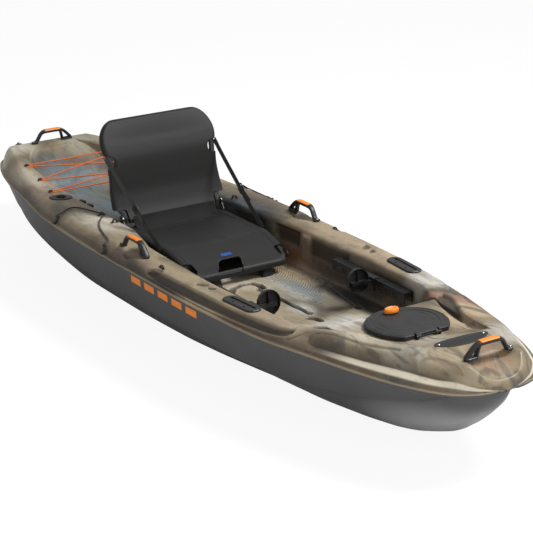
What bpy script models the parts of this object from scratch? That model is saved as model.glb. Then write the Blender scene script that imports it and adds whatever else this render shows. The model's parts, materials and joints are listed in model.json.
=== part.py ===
"""Sit-on-top fishing kayak, about ten feet long, with a removable framed seat.

Metres, +X towards the bow, +Y to port, +Z up.  The origin lies under the middle
of the length, on the flat of the hull bottom.
"""

import math

import bmesh
import bpy
import numpy as np
from mathutils import Matrix, Vector
from mathutils.bvhtree import BVHTree

# Boat
LENGTH = 3.05
BOW_X = LENGTH / 2
STERN_X = -LENGTH / 2
BEAM = 0.864
WALL = 0.005
GAP = 0.0003
RIM_Z = 0.290
FLANGE = 0.012
GUNWALE_Z = 0.333
GUNWALE_OUTER = 0.056
FLOOR_Z = 0.185
WELL_FLOOR_Z = 0.200
BOW_CROWN_Z = 0.376
BOW_DIP = 0.008
STERN_CROWN_Z = 0.367
FOREDECK_Z = 0.331
TUNNEL_DEPTH = 0.016
CHINE_Z = 0.145
RAIL_WALL_Y = BEAM / 2 - 0.154
WELL_WALL_Y = BEAM / 2 - 0.200

# Seat
SEAT_TUBE = 0.011
CLOTH = 0.003
CLOTH_GAP = 0.0018
SEAT_RAIL_Y = 0.205
SEAT_RAIL_Z = 0.285
SEAT_FRONT_X = 0.065
SEAT_FRONT_Z = 0.229
SEAT_BEND_X = -0.100
SEAT_REAR_X = -0.405
SEAT_CORNER = 0.045
SEAT_SAG = 0.010
SKIRT = 0.012
HINGE_X = -0.425
HINGE_Z = 0.325
HINGE_PIN = 0.004
BRACKET = 0.004
BACK_HALF = 0.249
BACK_CORNER = 0.085
BACK_WALL = 0.0025
BACK_EASE = 0.0015
BACK_ROUND = SEAT_TUBE + BACK_EASE + BACK_WALL
BACK_TOP = 0.674
BACK_FOOT = 0.308
BACK_RISE = BACK_TOP - BACK_FOOT
BACK_WAIST_Z = 0.360
BACK_LOW_Z = BACK_FOOT + 0.306 * BACK_RISE
BACK_MID_Z = BACK_FOOT + 0.443 * BACK_RISE
BACK_OPENING_Z = BACK_FOOT + 0.6175 * BACK_RISE
TONGUE_HALF = 0.183
BACK_LINE = (
    (BACK_FOOT, -0.414, TONGUE_HALF), (HINGE_Z, -0.425, 0.205), (0.350, -0.440, 0.2215), (0.375, -0.452, 0.243),
    (BACK_LOW_Z, -0.469, 0.240), (BACK_MID_Z, -0.4795, 0.236), (BACK_OPENING_Z, -0.4925, 0.239),
    (BACK_FOOT + 0.757 * BACK_RISE, -0.514, BACK_HALF), (BACK_FOOT + 0.839 * BACK_RISE, -0.532, BACK_HALF),
    (BACK_FOOT + 0.907 * BACK_RISE, -0.548, BACK_HALF), (BACK_TOP, -0.572, BACK_HALF))
BACK_LEVELS = (0.312, 0.340, 0.375, BACK_LOW_Z, BACK_MID_Z, BACK_OPENING_Z, BACK_TOP - BACK_CORNER,
               BACK_TOP - 0.062, BACK_TOP - 0.042, BACK_TOP - 0.026, BACK_TOP - BACK_ROUND)
SEAT_PARTS = ("base_frame", "base_cover", "foot_port", "foot_starboard", "bracket_port", "bracket_starboard")
STRAP_WIDTH = 0.025
STRAP_THICK = 0.002

# Fittings
HANDLE_LENGTH = 0.190
HANDLE_WIDTH = 0.026
HANDLE_HEIGHT = 0.055
HANDLE_BAR = 0.015
SIDE_HANDLE_X = -0.068
SIDE_HANDLE_Y = BEAM / 2 - 0.064
BOW_HANDLE_X = BOW_X - 0.100
STERN_HANDLE_X = STERN_X + 0.120
PAD_LENGTH = 0.034
PAD_HEIGHT = 0.011
INLAY_LENGTH = 0.072
INLAY_WIDTH = 0.015
INLAY_DEPTH = 0.003
SCOOP_RADII = (0.052, 0.036, 0.018)
BOW_SCOOP_RADII = (0.025, 0.052, 0.018)
PLATE_LENGTH = 0.168
PLATE_WIDTH = 0.056
PLATE_THICK = 0.006
PLATE_SLOT = (0.137, 0.012)
PLATE_X = 0.583
PLATE_Y = BEAM / 2 - 0.094
PLATE_TOE_IN = math.radians(4.6)
HATCH_X = BOW_X - 0.500
HATCH_HALF_WIDTH = 0.143
HATCH_AFT = 0.118
HATCH_NOSE = 0.136
HATCH_FORE = 0.108
HATCH_HINGE_X = HATCH_X + HATCH_FORE + 0.007
KNOB_X = HATCH_X - 0.077
KNOB_SHAFT = 0.006
CATCH_REACH = 0.017
HINGE_ROD = 0.002
UPSTAND = 0.0085
GASKET = 0.003
LID_THICK = 0.004
HINGE_ROD_Z = FOREDECK_Z + UPSTAND + 0.001
ROD_X = -0.778
ROD_Y = BEAM / 2 - 0.142
ROD_FLANGE = (0.046, 0.033)
ROD_BORE = 0.0205
ROD_WALL = 0.003
ROD_DEPTH = 0.145
RAIL_AFT_X = 0.290
RAIL_FORE_X = 0.710
RAIL_WIDTH = 0.0365
RAIL_HEIGHT = 0.040
RAIL_TOP_Z = 0.291
PEDAL_X = 0.513
PEDAL_Y = RAIL_WALL_Y - 0.091
PEDAL_Z = 0.287
PEDAL_RADIUS = 0.045
SCUPPER_BORE = 0.012
SCUPPER_WALL = 0.003
CORD_RADIUS = 0.003
FOAM_EASE = 0.002
CORD_LIFT = 0.0014
EYE_HEIGHT = 0.0125
EYE_WIDTH = 0.010
HOOK_WIDTH = 0.013
HOOK_END = Vector((-0.0180, 0.0, 0.0062))

# Lengthwise places on the deck, from the nearer end of the boat
WELL_AFT_X = STERN_X + 0.145
WELL_RAMP_X = STERN_X + 0.420
WELL_FORE_X = STERN_X + 0.900
COCKPIT_AFT_X = STERN_X + 0.960
COCKPIT_FORE_X = BOW_X - 0.745
FOREDECK_X = BOW_X - 0.630

# Sections that carry the mouldings
DECK_STATIONS = (
    STERN_X, STERN_X + 0.010, STERN_X + 0.030, STERN_X + 0.060, STERN_X + 0.095, WELL_AFT_X - 0.012,
    WELL_AFT_X + 0.010, WELL_AFT_X + 0.120, WELL_AFT_X + 0.190, WELL_RAMP_X, STERN_X + 0.500,
    STERN_X + 0.620, WELL_FORE_X, COCKPIT_AFT_X, -0.29, -0.11, 0.10, 0.31, 0.46, RAIL_FORE_X + 0.005,
    COCKPIT_FORE_X, FOREDECK_X - 0.060, FOREDECK_X - 0.020, FOREDECK_X, BOW_X - 0.470, BOW_X - 0.380,
    BOW_X - 0.300, BOW_X - 0.230, BOW_X - 0.125, BOW_X - 0.075, BOW_X - 0.040, BOW_X - 0.010, BOW_X)
HULL_STATIONS = (
    STERN_X, STERN_X + 0.010, STERN_X + 0.030, STERN_X + 0.060, STERN_X + 0.110, STERN_X + 0.200, STERN_X + 0.325,
    STERN_X + 0.480, STERN_X + 0.620, STERN_X + 0.900, -0.29, 0.31, BOW_X - 0.860, BOW_X - 0.700,
    BOW_X - 0.525, BOW_X - 0.400, BOW_X - 0.300, BOW_X - 0.225, BOW_X - 0.165, BOW_X - 0.125, BOW_X - 0.075,
    BOW_X - 0.040, BOW_X - 0.010, BOW_X)
FOAM_BOW_STATIONS = (BOW_X - 0.300, BOW_X - 0.230, BOW_X - 0.225, BOW_X - 0.165)
FOAM_STERN_STATIONS = (STERN_X + 0.200, STERN_X + 0.265, STERN_X + 0.325, STERN_X + 0.335)

# Places on the deck, as (x, distance inboard of the rim)
EYES = ((STERN_X + 0.365, 0.0772), (STERN_X + 0.525, 0.0890), (STERN_X + 0.675, 0.0886))
STRAP_EYE = (-0.395, 0.1643)
DRAIN_PLUG = (STERN_X + 0.078, 0.0893)
PADDLE_HOOKS = ((-0.606, 0.0220), (-0.205, 0.0200))
PADDLE_EYE = (-0.500, 0.1613)
PADDLE_ROUTE = (
    (-0.608, 0.0458), (-0.616, 0.0612), (-0.627, 0.0784), (-0.632, 0.0940), (-0.627, 0.1094), (-0.612, 0.1215),
    (-0.592, 0.1310), (-0.572, 0.1395), (-0.552, 0.1479), (-0.532, 0.1553), (-0.512, 0.1606), (-0.500, 0.1613),
    (-0.488, 0.1620), (-0.473, 0.1539), (-0.458, 0.1407), (-0.442, 0.1264), (-0.422, 0.1123), (-0.398, 0.0992),
    (-0.370, 0.0871), (-0.340, 0.0767), (-0.308, 0.0670), (-0.276, 0.0580), (-0.246, 0.0510), (-0.222, 0.0450))
PORT_BUTTON = (-0.510, 0.0367)
PORT_HOOK = (-0.335, 0.0228)
PORT_ROUTE = (
    (-0.4955, 0.0366), (-0.478, 0.0356), (-0.460, 0.0345), (-0.440, 0.0325), (-0.420, 0.0304), (-0.400, 0.0282),
    (-0.380, 0.0258), (-0.362, 0.0243))
SCUPPERS = ((0.516, 0.193), (0.516, -0.193), (-0.900, 0.150), (-0.900, -0.150))
PLUG_STUB = 0.009
LACE_LIFT = 0.005


def fair(x, knots):
    """Smooth curve through (x, value) knots that never overshoots them."""
    xs = np.array([knot[0] for knot in knots])
    vs = np.array([knot[1] for knot in knots])
    if x <= xs[0]:
        return float(vs[0])
    if x >= xs[-1]:
        return float(vs[-1])
    run = np.diff(xs)
    rise = np.diff(vs) / run
    slope = np.zeros(len(xs))
    for i in range(1, len(xs) - 1):
        if rise[i - 1] * rise[i] > 0:
            slope[i] = 2 * rise[i - 1] * rise[i] / (rise[i - 1] + rise[i])
    slope[0], slope[-1] = rise[0], rise[-1]
    i = int(np.searchsorted(xs, x) - 1)
    t = (x - xs[i]) / run[i]
    a = vs[i] * (1 + 2 * t) * (1 - t) ** 2 + vs[i + 1] * t * t * (3 - 2 * t)
    b = run[i] * (slope[i] * t * (1 - t) ** 2 - slope[i + 1] * t * t * (1 - t))
    return float(a + b)


# Lines of the boat: each is a curve of (x, size) from stern to bow

def half_beam(x):
    """Half the width over the rim."""
    half = BEAM / 2
    return fair(x, (
        (STERN_X, 0.08 * half), (STERN_X + 0.008, 0.27 * half), (STERN_X + 0.030, 0.43 * half),
        (STERN_X + 0.120, 0.57 * half), (STERN_X + 0.305, 0.71 * half), (STERN_X + 0.560, 0.835 * half),
        (STERN_X + 0.850, 0.955 * half), (-0.30, half), (0.30, half),
        (BOW_X - 0.800, 0.945 * half), (BOW_X - 0.520, 0.81 * half), (BOW_X - 0.270, 0.655 * half),
        (BOW_X - 0.130, 0.515 * half), (BOW_X - 0.065, 0.41 * half), (BOW_X - 0.025, 0.29 * half),
        (BOW_X - 0.007, 0.17 * half), (BOW_X, 0.06 * half)))


def crown_z(x):
    """Top of the gunwale."""
    tip = RIM_Z + WALL + GAP
    return fair(x, (
        (STERN_X, tip), (STERN_X + 0.012, 0.317), (STERN_X + 0.040, 0.346), (STERN_X + 0.075, 0.360),
        (STERN_X + 0.095, STERN_CROWN_Z), (STERN_X + 0.145, STERN_CROWN_Z), (STERN_X + 0.340, 0.355),
        (STERN_X + 0.620, GUNWALE_Z), (BOW_X - 0.690, GUNWALE_Z), (BOW_X - 0.560, 0.352),
        (BOW_X - 0.380, 0.364), (BOW_X - 0.230, BOW_CROWN_Z), (BOW_X - 0.125, BOW_CROWN_Z - BOW_DIP),
        (BOW_X - 0.075, BOW_CROWN_Z - BOW_DIP), (BOW_X - 0.040, 0.346), (BOW_X - 0.012, 0.318), (BOW_X, tip)))


def floor_z(x):
    """Deck height on the centreline: well, cockpit, hatch shelf and bow deck."""
    if x <= WELL_AFT_X - 0.012 or x >= BOW_X - 0.125:
        return crown_z(x)
    return fair(x, (
        (WELL_AFT_X - 0.012, crown_z(WELL_AFT_X - 0.012)), (WELL_AFT_X + 0.010, 0.352),
        (WELL_AFT_X + 0.120, 0.296), (WELL_RAMP_X - 0.060, WELL_FLOOR_Z + 0.012),
        (WELL_RAMP_X, WELL_FLOOR_Z), (WELL_FORE_X, WELL_FLOOR_Z), (COCKPIT_AFT_X, FLOOR_Z),
        (COCKPIT_FORE_X, FLOOR_Z), (FOREDECK_X - 0.020, FOREDECK_Z - 0.015), (FOREDECK_X, FOREDECK_Z),
        (BOW_X - 0.380, FOREDECK_Z), (BOW_X - 0.300, 0.352), (BOW_X - 0.230, BOW_CROWN_Z),
        (BOW_X - 0.125, BOW_CROWN_Z - BOW_DIP)))


def wall_y(x):
    """Half the width between the cockpit and tank well walls."""
    return fair(x, (
        (STERN_X, 0.010), (STERN_X + 0.040, 0.060), (WELL_AFT_X - 0.012, 0.100), (WELL_AFT_X + 0.040, 0.140),
        (WELL_AFT_X + 0.110, 0.172), (WELL_RAMP_X, WELL_WALL_Y - 0.020), (STERN_X + 0.720, WELL_WALL_Y),
        (COCKPIT_AFT_X, 0.238),
        (-0.30, 0.238), (-0.20, 0.250), (-0.10, 0.272), (0.10, RAIL_WALL_Y), (BOW_X - 0.790, RAIL_WALL_Y),
        (FOREDECK_X - 0.040, 0.235), (BOW_X - 0.420, 0.180), (BOW_X - 0.230, 0.130),
        (BOW_X - 0.100, 0.090), (BOW_X - 0.030, 0.050), (BOW_X, 0.010)))


def shoulder_y(x):
    """Where the flat top of the gunwale begins."""
    return fair(x, (
        (STERN_X, 0.014), (STERN_X + 0.040, 0.075), (WELL_AFT_X - 0.012, 0.125), (WELL_AFT_X + 0.110, 0.200),
        (WELL_RAMP_X, WELL_WALL_Y), (STERN_X + 0.720, WELL_WALL_Y + 0.011), (COCKPIT_AFT_X, 0.246), (-0.30, 0.248),
        (-0.18, 0.280), (-0.10, 0.306), (0.10, RAIL_WALL_Y + 0.040), (0.30, RAIL_WALL_Y + 0.052),
        (0.46, RAIL_WALL_Y + 0.036), (BOW_X - 0.860, RAIL_WALL_Y + 0.024), (BOW_X - 0.760, RAIL_WALL_Y + 0.020),
        (FOREDECK_X - 0.040, 0.272), (BOW_X - 0.420, 0.222), (BOW_X - 0.230, 0.160),
        (BOW_X - 0.100, 0.115), (BOW_X - 0.030, 0.062), (BOW_X, 0.014)))


def gunwale_outer(x):
    """Width of the fall from the crown's outer edge to the rim."""
    return fair(x, (
        (STERN_X, 0.050), (STERN_X + 0.110, 0.052), (STERN_X + 0.250, 0.058), (STERN_X + 0.400, 0.050),
        (STERN_X + 0.700, GUNWALE_OUTER), (-0.40, GUNWALE_OUTER), (-0.19, GUNWALE_OUTER - 0.010),
        (0.05, GUNWALE_OUTER - 0.010), (0.18, GUNWALE_OUTER), (BOW_X - 0.900, GUNWALE_OUTER),
        (BOW_X - 0.450, GUNWALE_OUTER + 0.022), (BOW_X - 0.200, GUNWALE_OUTER + 0.036), (BOW_X, GUNWALE_OUTER)))


def keel_z(x):
    """Underside of the hull on the centreline."""
    tip = RIM_Z - WALL
    return fair(x, (
        (STERN_X, tip), (STERN_X + 0.010, 0.225), (STERN_X + 0.040, 0.140), (STERN_X + 0.100, 0.082),
        (STERN_X + 0.200, 0.042), (STERN_X + 0.330, 0.016), (STERN_X + 0.480, 0.003), (STERN_X + 0.620, 0.0),
        (BOW_X - 0.700, 0.0), (BOW_X - 0.525, 0.005), (BOW_X - 0.400, 0.016), (BOW_X - 0.270, 0.050),
        (BOW_X - 0.207, 0.080), (BOW_X - 0.165, 0.110), (BOW_X - 0.125, 0.140), (BOW_X - 0.095, 0.170),
        (BOW_X - 0.065, 0.200), (BOW_X - 0.038, 0.230), (BOW_X - 0.015, 0.260), (BOW_X, tip)))


def flat_y(x):
    """Half width of the flat of the hull bottom."""
    return fair(x, (
        (STERN_X, 0.002), (STERN_X + 0.100, 0.050), (STERN_X + 0.325, 0.150), (STERN_X + 0.525, 0.184),
        (STERN_X + 0.925, 0.222), (-0.30, 0.224), (0.0, 0.215), (0.20, 0.196), (0.40, 0.166), (0.60, 0.130),
        (BOW_X - 0.700, 0.084), (BOW_X - 0.525, 0.034), (BOW_X - 0.400, 0.010), (BOW_X, 0.002)))


def chine(x):
    """Half width and height of the edge between the hull's side and bottom."""
    top = RIM_Z - WALL
    y = fair(x, (
        (STERN_X, 0.012), (STERN_X + 0.010, 0.090), (STERN_X + 0.030, 0.135), (STERN_X + 0.075, 0.170),
        (STERN_X + 0.125, 0.192), (STERN_X + 0.225, 0.228), (STERN_X + 0.325, 0.252), (STERN_X + 0.525, 0.298),
        (STERN_X + 0.925, 0.354), (-0.20, 0.370), (0.20, 0.370), (0.60, 0.355), (BOW_X - 0.725, 0.312),
        (BOW_X - 0.525, 0.262), (BOW_X - 0.325, 0.205), (BOW_X - 0.225, 0.165), (BOW_X - 0.125, 0.115),
        (BOW_X - 0.065, 0.068), (BOW_X - 0.020, 0.025), (BOW_X, 0.006)))
    z = fair(x, (
        (STERN_X, top), (STERN_X + 0.010, 0.262), (STERN_X + 0.030, 0.225), (STERN_X + 0.075, 0.195),
        (STERN_X + 0.225, 0.165), (STERN_X + 0.525, CHINE_Z + 0.003), (-0.20, CHINE_Z), (0.20, CHINE_Z),
        (BOW_X - 0.725, CHINE_Z), (BOW_X - 0.525, CHINE_Z + 0.008), (BOW_X - 0.325, 0.186),
        (BOW_X - 0.225, 0.211), (BOW_X - 0.125, 0.248), (BOW_X - 0.065, 0.262), (BOW_X, top)))
    return y, z


def deck_half_section(x):
    """Upper face of the deck from the centreline to the rim, as (y, z) points."""
    rim = half_beam(x)
    top, floor = crown_z(x), floor_z(x)
    rise = top - floor
    flange_z = RIM_Z + GAP + WALL
    narrow = min(1.0, rim / 0.16)
    outer = rim - gunwale_outer(x) * narrow
    inner = min(shoulder_y(x), 0.92 * outer)
    wall = min(wall_y(x), 0.94 * inner)
    foot = wall - 0.010 * narrow
    fall = top - flange_z
    lip = FLANGE * narrow
    side = rim - outer
    return [
        (0.0, floor), (foot, floor), (wall, floor + 0.10 * rise), (wall, floor + 0.74 * rise),
        (wall + 0.32 * (inner - wall), floor + 0.93 * rise), (inner, top),
        (outer, top), (outer + 0.30 * side, top - 0.19 * fall), (outer + 0.56 * side, top - 0.52 * fall),
        (rim - 1.3 * lip, flange_z + 0.14 * fall), (rim - lip, flange_z), (rim, flange_z)]


def hull_half_section(x):
    """Outer face of the hull from the keel to the rim, as (y, z) points."""
    rim = half_beam(x)
    keel, flat = keel_z(x), flat_y(x)
    chine_y, chine_z = chine(x)
    under = RIM_Z - WALL
    lip = FLANGE * min(1.0, rim / 0.16)
    bulge = min(1.0, max(0.0, (x - 0.60) / 0.60, (-x - 1.0) / 0.40))
    tunnel = TUNNEL_DEPTH * min(1.0, flat / 0.18)
    mid_y = flat + (0.5 + 0.40 * bulge) * (chine_y - flat)
    mid_z = keel + (0.5 - 0.32 * bulge) * (chine_z - keel)
    turn = []
    for t in (0.0, 0.5, 1.0):
        a, b, c = (1 - t) ** 2, 2 * t * (1 - t), t * t
        turn.append((a * flat + b * mid_y + c * chine_y, a * keel + b * mid_z + c * chine_z))
    return [
        (0.0, keel), (0.38 * flat, keel), (0.46 * flat, keel + tunnel), (0.60 * flat, keel + tunnel),
        (0.68 * flat, keel), *turn, (chine_y + 0.55 * (rim - lip - chine_y), chine_z + 0.5 * (under - chine_z)),
        (rim - lip, under), (rim, under)]


def inboard(place, side):
    """Point in plan at a distance inboard of the rim, on one side."""
    x, inset = place
    return x, side * (half_beam(x) - inset)


# Mesh helpers

def material(name, colour, roughness, metallic=0.0):
    """Principled material, one for each finish."""
    made = bpy.data.materials.new(name)
    made.use_nodes = True
    shader = made.node_tree.nodes["Principled BSDF"]
    shader.inputs["Base Color"].default_value = (*colour, 1.0)
    shader.inputs["Roughness"].default_value = roughness
    shader.inputs["Metallic"].default_value = metallic
    return made


def add_object(name, points, faces, finish, smooth=40.0):
    """Object from points and faces, its normals made to point out."""
    mesh = bpy.data.meshes.new(name)
    mesh.from_pydata([tuple(p) for p in points], [], faces)
    work = bmesh.new()
    work.from_mesh(mesh)
    bmesh.ops.remove_doubles(work, verts=work.verts, dist=1e-6)
    bmesh.ops.recalc_face_normals(work, faces=work.faces)
    work.to_mesh(mesh)
    work.free()
    mesh.shade_smooth()
    mesh.set_sharp_from_angle(angle=math.radians(smooth))
    mesh.materials.append(finish)
    made = bpy.data.objects.new(name, mesh)
    bpy.context.scene.collection.objects.link(made)
    return made


def grid_faces(rows, columns, wrap=False):
    """Quads over a grid of points, row by row."""
    last = columns if wrap else columns - 1
    faces = []
    for i in range(rows - 1):
        for j in range(last):
            k = (j + 1) % columns
            faces.append((i * columns + j, i * columns + k, (i + 1) * columns + k, (i + 1) * columns + j))
    return faces


def loft(rings):
    """Closed body through rings of as many points each, capped at both ends."""
    count = len(rings[0])
    points = [p for ring in rings for p in ring]
    faces = grid_faces(len(rings), count, wrap=True)
    faces.append(tuple(reversed(range(count))))
    faces.append(tuple(range((len(rings) - 1) * count, len(rings) * count)))
    return points, faces


def prism(outline, low, high):
    """Upright body over an outline of (x, y) points."""
    return loft([[(x, y, z) for x, y in outline] for z in (low, high)])


def shell_of(name, sections, finish, outward):
    """Thin shell under or inside a skin given by its cross-sections."""
    count = len(sections[0])
    points = [p for row in sections for p in row]
    faces = grid_faces(len(sections), count)
    if outward:
        faces = [tuple(reversed(f)) for f in faces]
    mesh = bpy.data.meshes.new(name)
    mesh.from_pydata(points, [], faces)
    mesh.shade_smooth()
    mesh.set_sharp_from_angle(angle=math.radians(35))
    mesh.materials.append(finish)
    made = bpy.data.objects.new(name, mesh)
    bpy.context.scene.collection.objects.link(made)
    thick = made.modifiers.new("wall", "SOLIDIFY")
    thick.solidify_mode = "NON_MANIFOLD"
    thick.nonmanifold_thickness_mode = "CONSTRAINTS"
    thick.thickness = WALL
    thick.offset = -1.0
    return made


def mirrored_section(half, x):
    """Whole cross-section from starboard rim to port rim."""
    port = [(x, y, z) for y, z in half]
    starboard = [(x, -y, z) for y, z in reversed(half[1:])]
    return starboard + port


def cut(target, tool, how="DIFFERENCE"):
    """Boolean on the target; the tool stays in the file, hidden from the render."""
    step = target.modifiers.new(how.lower(), "BOOLEAN")
    step.operation = how
    step.object = tool
    step.solver = "EXACT"
    tool.hide_render = True
    tool.display_type = "WIRE"
    return step


def apply_modifiers(made):
    """Replace the object's mesh by what its modifiers make of it."""
    graph = bpy.context.evaluated_depsgraph_get()
    mesh = bpy.data.meshes.new_from_object(made.evaluated_get(graph))
    old = made.data
    made.modifiers.clear()
    made.data = mesh
    bpy.data.meshes.remove(old)


def combine(target, tools):
    """Join or cut the target with (tool, operation) pairs, and drop the tools."""
    for tool, how in tools:
        cut(target, tool, how)
        apply_modifiers(target)
        bpy.data.objects.remove(tool)
    target.data.set_sharp_from_angle(angle=math.radians(40))
    return target


def put_origin(made, point):
    """Move an object's origin to a point on the axis that it moves about."""
    made.data.transform(Matrix.Translation(-point))
    made.location = point


def skin_tree(made):
    """Search tree over the finished surface of an object."""
    graph = bpy.context.evaluated_depsgraph_get()
    return BVHTree.FromObject(made.evaluated_get(graph), graph)


def seat_on(tree, x, y, heading, half_length, half_width):
    """Frame on the surface under (x, y) that touches it nowhere closer than the gap."""
    hit, normal, _, _ = tree.ray_cast(Vector((x, y, 1.0)), Vector((0.0, 0.0, -1.0)))
    side = normal.cross(Vector(heading)).normalized()
    along = side.cross(normal)
    highest = 0.0
    for i in range(41):
        for j in range(5):
            spot = hit + along * (i / 20 - 1) * half_length + side * (j / 2 - 1) * half_width
            found = tree.ray_cast(spot + normal * 0.05, -normal)[0]
            if found:
                highest = max(highest, (found - hit).dot(normal))
    origin = hit + normal * (highest + GAP)
    place = Matrix((along, side, normal)).transposed().to_4x4()
    place.translation = origin
    return place


def extrude_across(name, profile, width, finish, place=Matrix()):
    """Solid of an (x, z) profile over a width in y, then placed."""
    rings = [[place @ Vector((x, y, z)) for x, z in profile] for y in (-width / 2, width / 2)]
    return add_object(name, *loft(rings), finish)


def disc(x, y, z, radius, height, count=24, axis="Z"):
    """Points and faces of a short cylinder that starts at (x, y, z) and grows along an axis."""
    rings = []
    for step in (0.0, height):
        ring = []
        for i in range(count):
            a = math.tau * i / count
            u, v = radius * math.cos(a), radius * math.sin(a)
            shift = {"X": (step, u, v), "Y": (u, step, v), "Z": (u, v, step)}[axis]
            ring.append((x + shift[0], y + shift[1], z + shift[2]))
        rings.append(ring)
    return loft(rings)


def box(name, low, high, finish):
    """Upright box between two corners."""
    outline = [(low[0], low[1]), (high[0], low[1]), (high[0], high[1]), (low[0], high[1])]
    return add_object(name, *prism(outline, low[2], high[2]), finish)


def tube(name, path, radius, finish, sides=8, closed=False):
    """Round bar along a path of points."""
    path = [Vector(p) for p in path]
    count = len(path)
    rings = []
    across = None
    for i, point in enumerate(path):
        after = path[(i + 1) % count] if closed or i < count - 1 else point
        before = path[i - 1] if closed or i else point
        ahead = (after - point).normalized() + (point - before).normalized()
        ahead.normalize()
        level = ahead.cross(Vector((0.0, 0.0, 1.0)))
        if closed or across is None:
            across = level if level.length > 0.1 else ahead.cross(Vector((0.0, 1.0, 0.0)))
        across = (across - ahead * across.dot(ahead)).normalized()
        up = across.cross(ahead)
        ring = []
        for k in range(sides):
            a = math.tau * k / sides
            ring.append(point + (across * math.cos(a) + up * math.sin(a)) * radius)
        rings.append(ring)
    if not closed:
        return add_object(name, *loft(rings), finish)
    points = [p for ring in rings for p in ring]
    faces = grid_faces(count, sides, wrap=True)
    base = (count - 1) * sides
    for k in range(sides):
        n = (k + 1) % sides
        faces.append((base + k, base + n, n, k))
    return add_object(name, points, faces, finish)


def ring_solid(outlines):
    """Ring whose cross-section runs through outlines of as many points each, back to the first."""
    count = len(outlines[0])
    points = [p for ring in outlines for p in ring]
    faces = grid_faces(len(outlines), count, wrap=True)
    base = (len(outlines) - 1) * count
    for j in range(count):
        k = (j + 1) % count
        faces.append((base + j, base + k, k, j))
    return points, faces


# Hull and deck

def bowl(x, y, z, radii, grow, count=12, rings=3):
    """Lower half of an ellipsoid, grown by a wall, closed by a flat top."""
    rows = []
    for i in range(rings):
        turn = math.radians(86) * i / (rings - 1)
        shrink, drop = math.cos(turn), math.sin(turn)
        rows.append([(x + (radii[0] + grow) * shrink * math.cos(math.tau * k / count),
                      y + (radii[1] + grow) * shrink * math.sin(math.tau * k / count),
                      z - (radii[2] + grow) * drop) for k in range(count)])
    return loft(rows)


def slanted_bar(x, y, top_z, radius, above, below, count=14):
    """Cylinder along a rod holder's lean, from above to below the gunwale's top."""
    lean = Vector((0.25, -0.15 if y > 0 else 0.15, -1.0)).normalized()
    across = lean.cross(Vector((0.0, 1.0, 0.0))).normalized()
    up = across.cross(lean)
    rings = []
    for step in (-above, below):
        middle = Vector((x, y, top_z)) + lean * step
        rings.append([middle + (across * math.cos(math.tau * k / count) + up * math.sin(math.tau * k / count))
                      * radius for k in range(count)])
    return loft(rings)


def hatch_outline(inset, z, count=24):
    """Outline of the round hatch with its flat front, drawn in by an inset."""
    ring = []
    for i in range(count):
        a = math.tau * (i + 0.5) / count
        reach = HATCH_NOSE if math.cos(a) > 0 else HATCH_AFT
        x = min((reach - inset) * math.cos(a), HATCH_FORE - inset)
        ring.append((HATCH_X + x, (HATCH_HALF_WIDTH - inset) * math.sin(a), z))
    return ring


def make_hull(finish):
    """Lower moulding, with holes for the scupper tubes."""
    hull = shell_of("hull", [mirrored_section(hull_half_section(x), x) for x in HULL_STATIONS], finish, False)
    apply_modifiers(hull)
    tools = []
    for x, y in SCUPPERS:
        hole = disc(x, y, -0.01, SCUPPER_BORE + SCUPPER_WALL + GAP, 0.12, 12)
        tools.append((add_object("scupper hole", *hole, finish), "DIFFERENCE"))
    return combine(hull, tools)


def make_deck(finish):
    """Upper moulding, with hand scoops, hatch hole and holes for what passes through."""
    deck = shell_of("deck", [mirrored_section(deck_half_section(x), x) for x in DECK_STATIONS], finish, True)
    apply_modifiers(deck)
    tools = []
    scoops = [(SIDE_HANDLE_X, side * SIDE_HANDLE_Y, GUNWALE_Z, SCOOP_RADII) for side in (-1, 1)]
    scoops.append((BOW_HANDLE_X, 0.0, BOW_CROWN_Z - BOW_DIP, BOW_SCOOP_RADII))
    for x, y, z, radii in scoops:
        outer = bowl(x, y, z - 0.0005, radii, WALL)
        inner = bowl(x, y, z + 0.0002, radii, 0.0)
        tools.append((add_object("scoop wall", *outer, finish), "UNION"))
        tools.append((add_object("scoop", *inner, finish), "DIFFERENCE"))
    hatch_hole = loft([hatch_outline(0.0197, z) for z in (FOREDECK_Z - 0.03, FOREDECK_Z + 0.03)])
    tools.append((add_object("hatch hole", *hatch_hole, finish), "DIFFERENCE"))
    for side in (-1, 1):
        hole = slanted_bar(ROD_X, side * ROD_Y, GUNWALE_Z, ROD_BORE + ROD_WALL + 0.0008, 0.03, 0.03)
        tools.append((add_object("rod hole", *hole, finish), "DIFFERENCE"))
    for x, y in SCUPPERS:
        hole = disc(x, y, FLOOR_Z - 0.05, SCUPPER_BORE + SCUPPER_WALL + GAP, 0.10, 12)
        tools.append((add_object("scupper hole", *hole, finish), "DIFFERENCE"))
    return combine(deck, tools)


def make_scupper(name, x, y, finish):
    """Drain tube from the floor down to the slanted hull bottom."""
    floor = floor_z(x)
    rings = []
    for radius, top in ((SCUPPER_BORE + SCUPPER_WALL, False), (SCUPPER_BORE + SCUPPER_WALL, True),
                        (SCUPPER_BORE, True), (SCUPPER_BORE, False)):
        ring = []
        for k in range(12):
            px = x + radius * math.cos(math.tau * k / 12)
            py = y + radius * math.sin(math.tau * k / 12)
            low = surface_z(px, py, hull_half_section) + 0.0005
            ring.append((px, py, floor if top else low))
        rings.append(ring)
    return add_object(name, *ring_solid(rings), finish)


def surface_z(x, y, section):
    """Height of a moulding's outer face between the section's points."""
    half = section(x)
    ys = [p[0] for p in half]
    zs = [p[1] for p in half]
    return float(np.interp(abs(y), ys, zs))


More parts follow.
